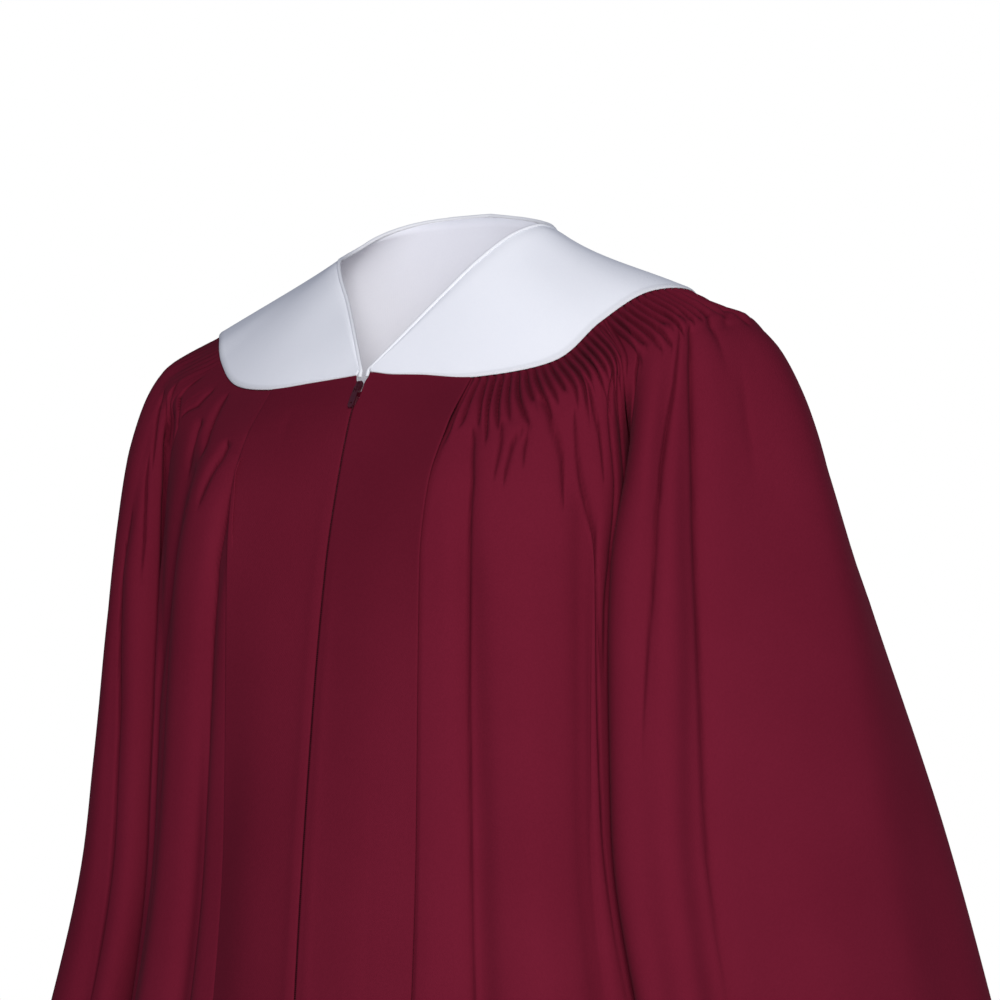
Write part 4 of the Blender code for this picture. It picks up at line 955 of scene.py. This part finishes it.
def gathered(piece, side, columns, rows, allowances):
    """One gathered piece, with its grain spread over the width it was cut to."""
    u = np.linspace(0, 1, columns)
    points = sheet_points(piece, side, u, rows, 0.0)
    facing = facing_of(piece, side, u, rows)
    points, facing, across = with_allowance(points, facing, u * CUTS[piece][0], *allowances)
    sheet = lay_grid("robe_" + piece + "_" + SIDE[side], points, across, lengths_down(points), facing)
    paint_crease_shade(sheet, points, facing, SHARP[side])
    return thicken(sheet, CLOTH, burgundy)


made = {}
for side in (1, -1):
    rows = with_hem(BODY_ROWS, BODY_HEM)
    made["side_front", side] = gathered("side_front", side, 205, rows, ("under", "in"))
    rows = with_hem(SLEEVE_ROWS, SLEEVE_HEM)
    made["sleeve", side] = gathered("sleeve", side, 301, rows, ("behind", "behind"))
for key, sheet in made.items():
    print(sheet.name, triangles(sheet), "triangles")

# %% The back, both halves in one sheet
half = np.linspace(0, 1, 225)
rows = with_hem(BACK_ROWS, BODY_HEM)
points = both_halves(*[sheet_points("back", side, half, rows, 0.0) for side in (1, -1)])
facing = [facing_of("back", side, half, rows) for side in (1, -1)]
facing = np.concatenate([facing[0], facing[1][:, -2::-1]], axis=1)
across = np.concatenate([half / 2, 1 - half[-2::-1] / 2]) * BACK_WIDTH
points, facing, across = with_allowance(points, facing, across, "in", "in")
back = lay_grid("robe_back", points, across, lengths_down(points), facing)
paint_crease_shade(back, points, facing, SHARP[1])
thicken(back, CLOTH, burgundy)
print(back.name, triangles(back), "triangles")

# %% [markdown]
# ## The two flat front panels
# They are not gathered. Each is cut straight, lies a little proud of the gathered cloth beside it, and ends
# in a turned edge that rolls down at both sides. The edges at the centre front stand apart at the yoke,
# where the zip's slider sits, and almost touch below it.

# %% Panels
PANEL_PROUD = 0.0015
PANEL_WIDTH = 0.088
CENTRE_COLUMNS = 7
ZIP_END = -0.90


def half_gap(z):
    """Half the space between the two panels at a height."""
    notch = 0.0034 + 0.0018 * smooth((z + 0.1175) / 0.006)
    slit = 0.0006 + 0.0028 * smooth((z + 0.137) / 0.010)
    return np.where(z > -0.127, notch, np.where(z > ZIP_END, slit, 0.00006))


def rolled(distance, reach, drop):
    """How far a turned edge has rolled down, by the distance from it."""
    share = np.clip(1 - distance / reach, 0, 1)
    return -drop * (1 - np.sqrt(1 - share * share * 0.98))


panel_u = np.array([0, 0.003, 0.007, 0.013, 0.02, 0.03, 0.05, 0.08, 0.11, 0.15, *np.linspace(0.2, 0.9, 22),
                    0.93, 0.955, 0.97, 0.980, 0.987, 0.993, 0.997, 1.0])
for side in (1, -1):
    rows = with_hem(BODY_ROWS, BODY_HEM)
    points = sheet_points("front_panel", side, panel_u, rows, PANEL_PROUD)
    facing = facing_of("front_panel", side, panel_u, rows)
    from_centre = panel_u * PANEL_WIDTH
    edge = rolled(from_centre, 0.0016, 0.0009) + rolled(PANEL_WIDTH - from_centre, 0.0020, 0.0011)
    points += facing * edge[None, :, None]
    for column in range(CENTRE_COLUMNS):  # the columns beside the zip keep to its line
        gap = side * (half_gap(points[:, column, 2]) + from_centre[column])
        blend = 1 - panel_u[column] / 0.05
        points[:, column, 0] = points[:, column, 0] * (1 - blend) + gap * blend
    panel = lay_grid("robe_front_panel_" + SIDE[side], points, panel_u * CUTS["front_panel"][0],
                     lengths_down(points), facing)
    made["front_panel", side] = thicken(panel, CLOTH, panel_burgundy_shaded)
    print(panel.name, triangles(panel), "triangles")

# %% [markdown]
# ## The white yoke, its lining and the rolled neck edge
# The yoke is a flat ring of white twill, cut to lie over both shoulders and turned under at its outer edge,
# where it covers the heads of the flutes. The lining under it shows at the back of the neck. A cord-like
# roll of the same white cloth finishes the neck, and its two ends turn down into the bottom of the V. Its
# white is a little darker than the yoke's, as painted shade.

# %% Yoke surfaces
NECK_ROLL = 0.0014
FACING_CLOTH = 0.0012
YOKE_CLOTH = 0.0013
SEAM = 0.00035
YOKE_FRONT = {1: 0.006, -1: 0.004}  # share at which each front end starts
YOKE_WIDTH = 0.07
YOKE_STEPS = 200
BACK_EASED = slice(YOKE_STEPS - 35, YOKE_STEPS + 34)


def yoke_sag(side, shares, across):
    """How far the yoke dips between the standing neck edge and the shoulder."""
    round_shoulder = smooth((shares - 0.30) / 0.15) * smooth((0.95 - shares) / 0.25)
    return YOKE_SAG[side] * round_shoulder * 6.75 * across * (1 - across) ** 2


def yoke_ring(across, lift, beyond=0.0):
    """Points all round at one distance from the neck, left half then right; lift may vary along the ring."""
    halves = []
    for side in (1, -1):
        shares = np.linspace(YOKE_FRONT[side], 1, YOKE_STEPS)
        neck, edge, out, normal = yoke_frame(side, shares)
        width = np.linalg.norm(edge - neck, axis=1)[:, None]
        if side == 1:  # its corner at the zip rounds up a little
            width = width - 0.0026 * (1 - smooth(shares / 0.055))[:, None]
        slant = np.linalg.norm(np.cross(out, unit(np.gradient(neck, axis=0))), axis=1)[:, None]
        start = NECK_ROLL * 0.7 / np.maximum(slant, 0.5)
        distance = start + (width + beyond - start) * across
        rise = lift(side, shares) - yoke_sag(side, shares, across)
        halves.append(neck + out * distance + normal * rise[:, None])
    ring = both_halves(*halves)
    for _ in range(60):  # ease the centre back, where the two halves meet
        ring[BACK_EASED] = ((np.roll(ring, 1, 0) + np.roll(ring, -1, 0) + 2 * ring) / 4)[BACK_EASED]
    return ring


def yoke_sheet(name, across_steps, lift, beyond, thick, finish):
    """A ring of cloth; lift(side, shares, distance from its edge) is its face's height over the surface."""
    from_edge = (1 - np.array(across_steps)) * YOKE_WIDTH
    points = np.array([yoke_ring(across, lambda side, s: lift(side, s, near), beyond)
                       for across, near in zip(across_steps, from_edge)])
    upright = [yoke_frame(side, np.linspace(YOKE_FRONT[side], 1, YOKE_STEPS))[3] for side in (1, -1)]
    facing = np.repeat(both_halves(*upright)[None], len(points), 0)
    sheet = lay_grid(name, points, run_along(points[len(points) // 2]), YOKE_WIDTH - from_edge, facing)
    # Painted shade: the yoke's turned edge is darkened in colour towards its rim, where it rolls under.
    if finish == white_cloth:  # the turned edge reads a little darker than the face
        turned = np.interp(from_edge, (0, 0.0014, 0.0034), (0.7, 0.45, 0))
        keep_painted_shade(sheet, np.repeat(turned[:, None], points.shape[1], 1))
    return thicken(sheet, thick, finish)


# %% Yoke and lining
PRESSED = {1: 0.00022, -1: 0.000066}  # how far the flutes show through the yoke's edge


def yoke_face(side, shares, near):
    """The yoke's face: a soft roll at its edge, and faint pushes where flutes press it from below."""
    low = FACING_CLOTH / 2 + SEAM + YOKE_CLOTH
    bead = 0.00012 * math.sin(math.pi * min(near / 0.0030, 1.0))
    edge = float(rolled(np.array(near), 0.0024, 0.0012))
    flutes = np.abs(np.sin(math.pi * (shares - AT_PANEL) / (AT_ARM_FRONT - AT_PANEL) * FLUTES["side_front"]))
    edge -= 0.0014 * max(0.0, 1 - (YOKE_WIDTH - near) / 0.0045) ** 2
    pressed = smooth((shares - AT_PANEL) / 0.03) * PRESSED[side] * max(0.0, 1 - near / 0.008)
    return low + bead + edge + pressed * flutes


def lining_face(side, shares, near):
    return np.full(len(shares), 0.0006)


steps = [0, 0.01, 0.03, *np.linspace(0.07, 0.93, 24), 0.95, 0.96, 0.97, 0.978, 0.985, 0.99, 0.994, 0.997, 1]
yoke = yoke_sheet("white_yoke", steps, yoke_face, 0.0007, 0.0010, white_cloth)
lining = yoke_sheet("yoke_lining", np.linspace(0, 1, 20), lining_face, -0.001, 0.0008, lining_cloth)
print(yoke.name, triangles(yoke), lining.name, triangles(lining))

# %% Rolled neck edge
DROPS = (0.0050, 0.0038, 0.0025, 0.0012)
shares = np.concatenate([[0.0, 0.015], np.linspace(0.03, 1, 150)])
paths, ups = [], []
for side in (1, -1):
    neck, _, _, normal = yoke_frame(side, shares)
    run = neck + normal * 0.0009
    tips = [run[0] + np.array([0.0, -0.32, -0.95]) * drop for drop in DROPS]
    paths.append(np.concatenate([tips, run]))
    ups.append(np.concatenate([np.repeat(normal[:1], len(DROPS), 0), normal]))
path, up = [np.concatenate([left[:-1], right[::-1]]) for left, right in (paths, ups)]
heading = unit(np.gradient(path, axis=0))
across = unit(np.cross(up, heading))
up = unit(np.cross(heading, across))
turns = np.linspace(0, 2 * math.pi, 13)
plump = NECK_ROLL * (1 + 0.04 * np.sin(np.arange(len(path)) * 0.9) * np.sin(np.arange(len(path)) * 0.23))
around = np.array([(across * math.cos(turn) + up * math.sin(turn)) * plump[:, None] for turn in turns])
neck_roll = lay_grid("neck_roll", path + around, run_along(path), turns * NECK_ROLL, around)
edit(neck_roll, bpy.ops.mesh.remove_doubles, threshold=0.00001)
open_edges = close_up(neck_roll.data)
neck_roll.data.materials.append(neck_roll_shaded_white)
bpy.ops.object.shade_smooth_by_angle(angle=math.radians(50))
print(neck_roll.name, triangles(neck_roll), "triangles, open edges filled", open_edges)

# %% [markdown]
# ## The zip
# A woven tape is sewn behind each panel's edge, and a coil of fine teeth is fixed along it. One tooth is
# modelled and copied down the front, because hundreds of identical teeth are what a coil zip is. The slider
# and its pull are the solid ones, which already have the right shape and, for the pull, its own hinge.

# %% Zip tapes
TAPE_ROWS = spaced((0.04, 8), (0.30, 20), (1.0, 40))


def front_line(v):
    """Points down the centre front, straight out from it, and the way down."""
    base = surface("front_panel", 1, np.array([0.0]), v)[:, 0]
    base[:, 0] = 0
    out = normals("front_panel", 1, np.array([0.0]), v)[:, 0]
    out[:, 0] = 0
    return base, unit(out), unit(np.gradient(base, axis=0))


def level_at(z):
    share = np.linspace(0, 1, 801)
    return float(np.interp(-z, -surface("front_panel", 1, np.array([0.0]), share)[:, 0, 2], share))


top, bottom = level_at(-0.1245), level_at(ZIP_END)
v = top + (bottom - top) * TAPE_ROWS
from_centre = np.array([0.0016, 0.0022, 0.004, 0.007, 0.010, 0.0115, 0.0122])
tape_u = from_centre / PANEL_WIDTH
for side in (1, -1):
    points = surface("front_panel", side, tape_u, v)
    out = normals("front_panel", side, tape_u, v)
    points = points + out * (fold_height("front_panel", side, tape_u, v)[:, :, None] - 0.00025)
    tape = lay_grid("zip_tape_cloth_" + SIDE[side], points, from_centre, lengths_down(points), out)
    made["tape", side] = thicken(tape, 0.0006, tape_cloth)
    print(tape.name, triangles(tape), "triangles")

# %% One tooth, copied down both tapes
PITCH = 0.00135
bpy.ops.object.select_all(action="DESELECT")
bpy.ops.mesh.primitive_cube_add(size=1, location=(0, 0, 0))
tooth = bpy.context.object
tooth.scale = (0.0021, 0.0012, 0.0006)
bpy.ops.object.transform_apply(scale=True)
bevel = tooth.modifiers.new("round", "BEVEL")
bevel.width = 0.00022
bevel.segments = 1
settle(tooth)
count = len(tooth.data.vertices)
shape = np.empty(count * 3)
tooth.data.vertices.foreach_get("co", shape)
shape = shape.reshape(-1, 3)
tooth_faces = [tuple(p.vertices) for p in tooth.data.polygons]
bpy.data.objects.remove(tooth, do_unlink=True)

base, out, _ = front_line(np.linspace(level_at(-0.1270), bottom, 1200))
along = run_along(base)
for side in (1, -1):
    stations = np.arange(PITCH * (0.5 if side == 1 else 0.0), along[-1], PITCH)
    place = np.stack([np.interp(stations, along, base[:, k]) for k in range(3)], axis=1)
    facing = unit(np.stack([np.interp(stations, along, out[:, k]) for k in range(3)], axis=1))
    sideways = np.tile([1.0, 0, 0], (len(stations), 1))
    lengthways = unit(np.cross(facing, sideways))
    middle = place + sideways * side * 0.00085 - facing * 0.0010
    copies = (middle[:, None] + sideways[:, None] * shape[None, :, :1] + facing[:, None] * shape[None, :, 1:2]
              + lengthways[:, None] * shape[None, :, 2:3]).reshape(-1, 3)
    faces = [tuple(i + k * count for i in face) for k in range(len(stations)) for face in tooth_faces]
    mesh = bpy.data.meshes.new("zip_teeth_" + SIDE[side])
    mesh.from_pydata(copies.tolist(), [], faces)
    teeth = bpy.data.objects.new("zip_teeth_" + SIDE[side], mesh)
    scene.collection.objects.link(teeth)
    close_up(mesh)
    made["teeth", side] = teeth
    print(teeth.name, len(stations), "teeth", triangles(teeth), "triangles")

# %% [markdown]
# ## Lacquered zip parts
# Garment zips are dyed and lacquered to match the cloth. The lacquer is smooth on the flats and worn a
# little paler along the edges that fingers touch. Wear is found with the Pointiness of the surface for the
# slider's edges, and a fine noise breaks the gloss up.

# %% Lacquer
def lacquer(name, colour, worn, rough, wear):
    """Dyed lacquer that is worn paler along its edges."""
    material, tree, shader = new_material(name)
    place = add(tree, "TexCoord").outputs["Object"]
    grain = add(tree, "TexNoise", Vector=place, Scale=900, Detail=3).outputs["Fac"]
    edges = add(tree, "NewGeometry").outputs["Pointiness"]
    mask = add(tree, "MapRange", Value=edges, From_Min=0.52, From_Max=0.62).outputs["Result"]
    amount = maths(tree, "MULTIPLY", mask, maths(tree, "MULTIPLY", grain, wear))
    blend = add(tree, "Mix", [("data_type", "RGBA")], A=(*colour, 1), B=(*worn, 1), Factor=amount)
    roughness = maths(tree, "ADD", maths(tree, "MULTIPLY", grain, 0.2), rough - 0.1)
    fill(tree, shader, Base_Color=blend.outputs["Result"], Roughness=roughness, Specular_IOR_Level=0.5,
         Coat_Weight=0.15, Coat_Roughness=0.2)
    return material


slider_lacquer = lacquer("burgundy_lacquer", (0.045, 0.004, 0.011), (0.085, 0.012, 0.022), 0.48, 0.4)
teeth_lacquer = lacquer("burgundy_teeth", (0.085, 0.007, 0.018), (0.14, 0.02, 0.035), 0.45, 0.6)
for name in ("zip_slider", "zip_pull"):
    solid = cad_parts[name]
    for slot in solid.material_slots:
        slot.material = slider_lacquer
for side in (1, -1):
    made["teeth", side].data.materials.append(teeth_lacquer)
print("lacquer on zip_slider, zip_pull and", sum(1 for key in made if key[0] == "teeth"), "rows of teeth")

# %% [markdown]
# ## Joining the pieces to the robe
# Every piece moves with the robe's body and stands in for the solid it was made from.

# %% Ride and replace
def cloth_area(thing):
    """Area of one layer of a closed sheet."""
    return sum(p.area for p in thing.data.polygons) / 2


for (piece, side), thing in made.items():
    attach(thing, "robe")
    if piece in CUTS:
        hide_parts(piece + "_" + SIDE[side])
    elif piece == "tape":
        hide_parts("zip_tape_" + SIDE[side])
for thing, node, slot in ((back, "back", "robe_cloth"), (yoke, "yoke", "yoke_cloth"),
                          (lining, "yoke_facing", "facing_cloth"),
                          (neck_roll, "neck_edge", "neck_edge_cloth")):
    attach(thing, "robe")
    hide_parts(node)
    print(thing.name, "cloth", round(cloth_area(thing), 4))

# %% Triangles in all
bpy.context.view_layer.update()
shown = [o for o in bpy.data.objects if o.type == "MESH" and not o.hide_render and not o.get("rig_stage")]
print("triangles in all", sum(triangles(o) for o in shown))
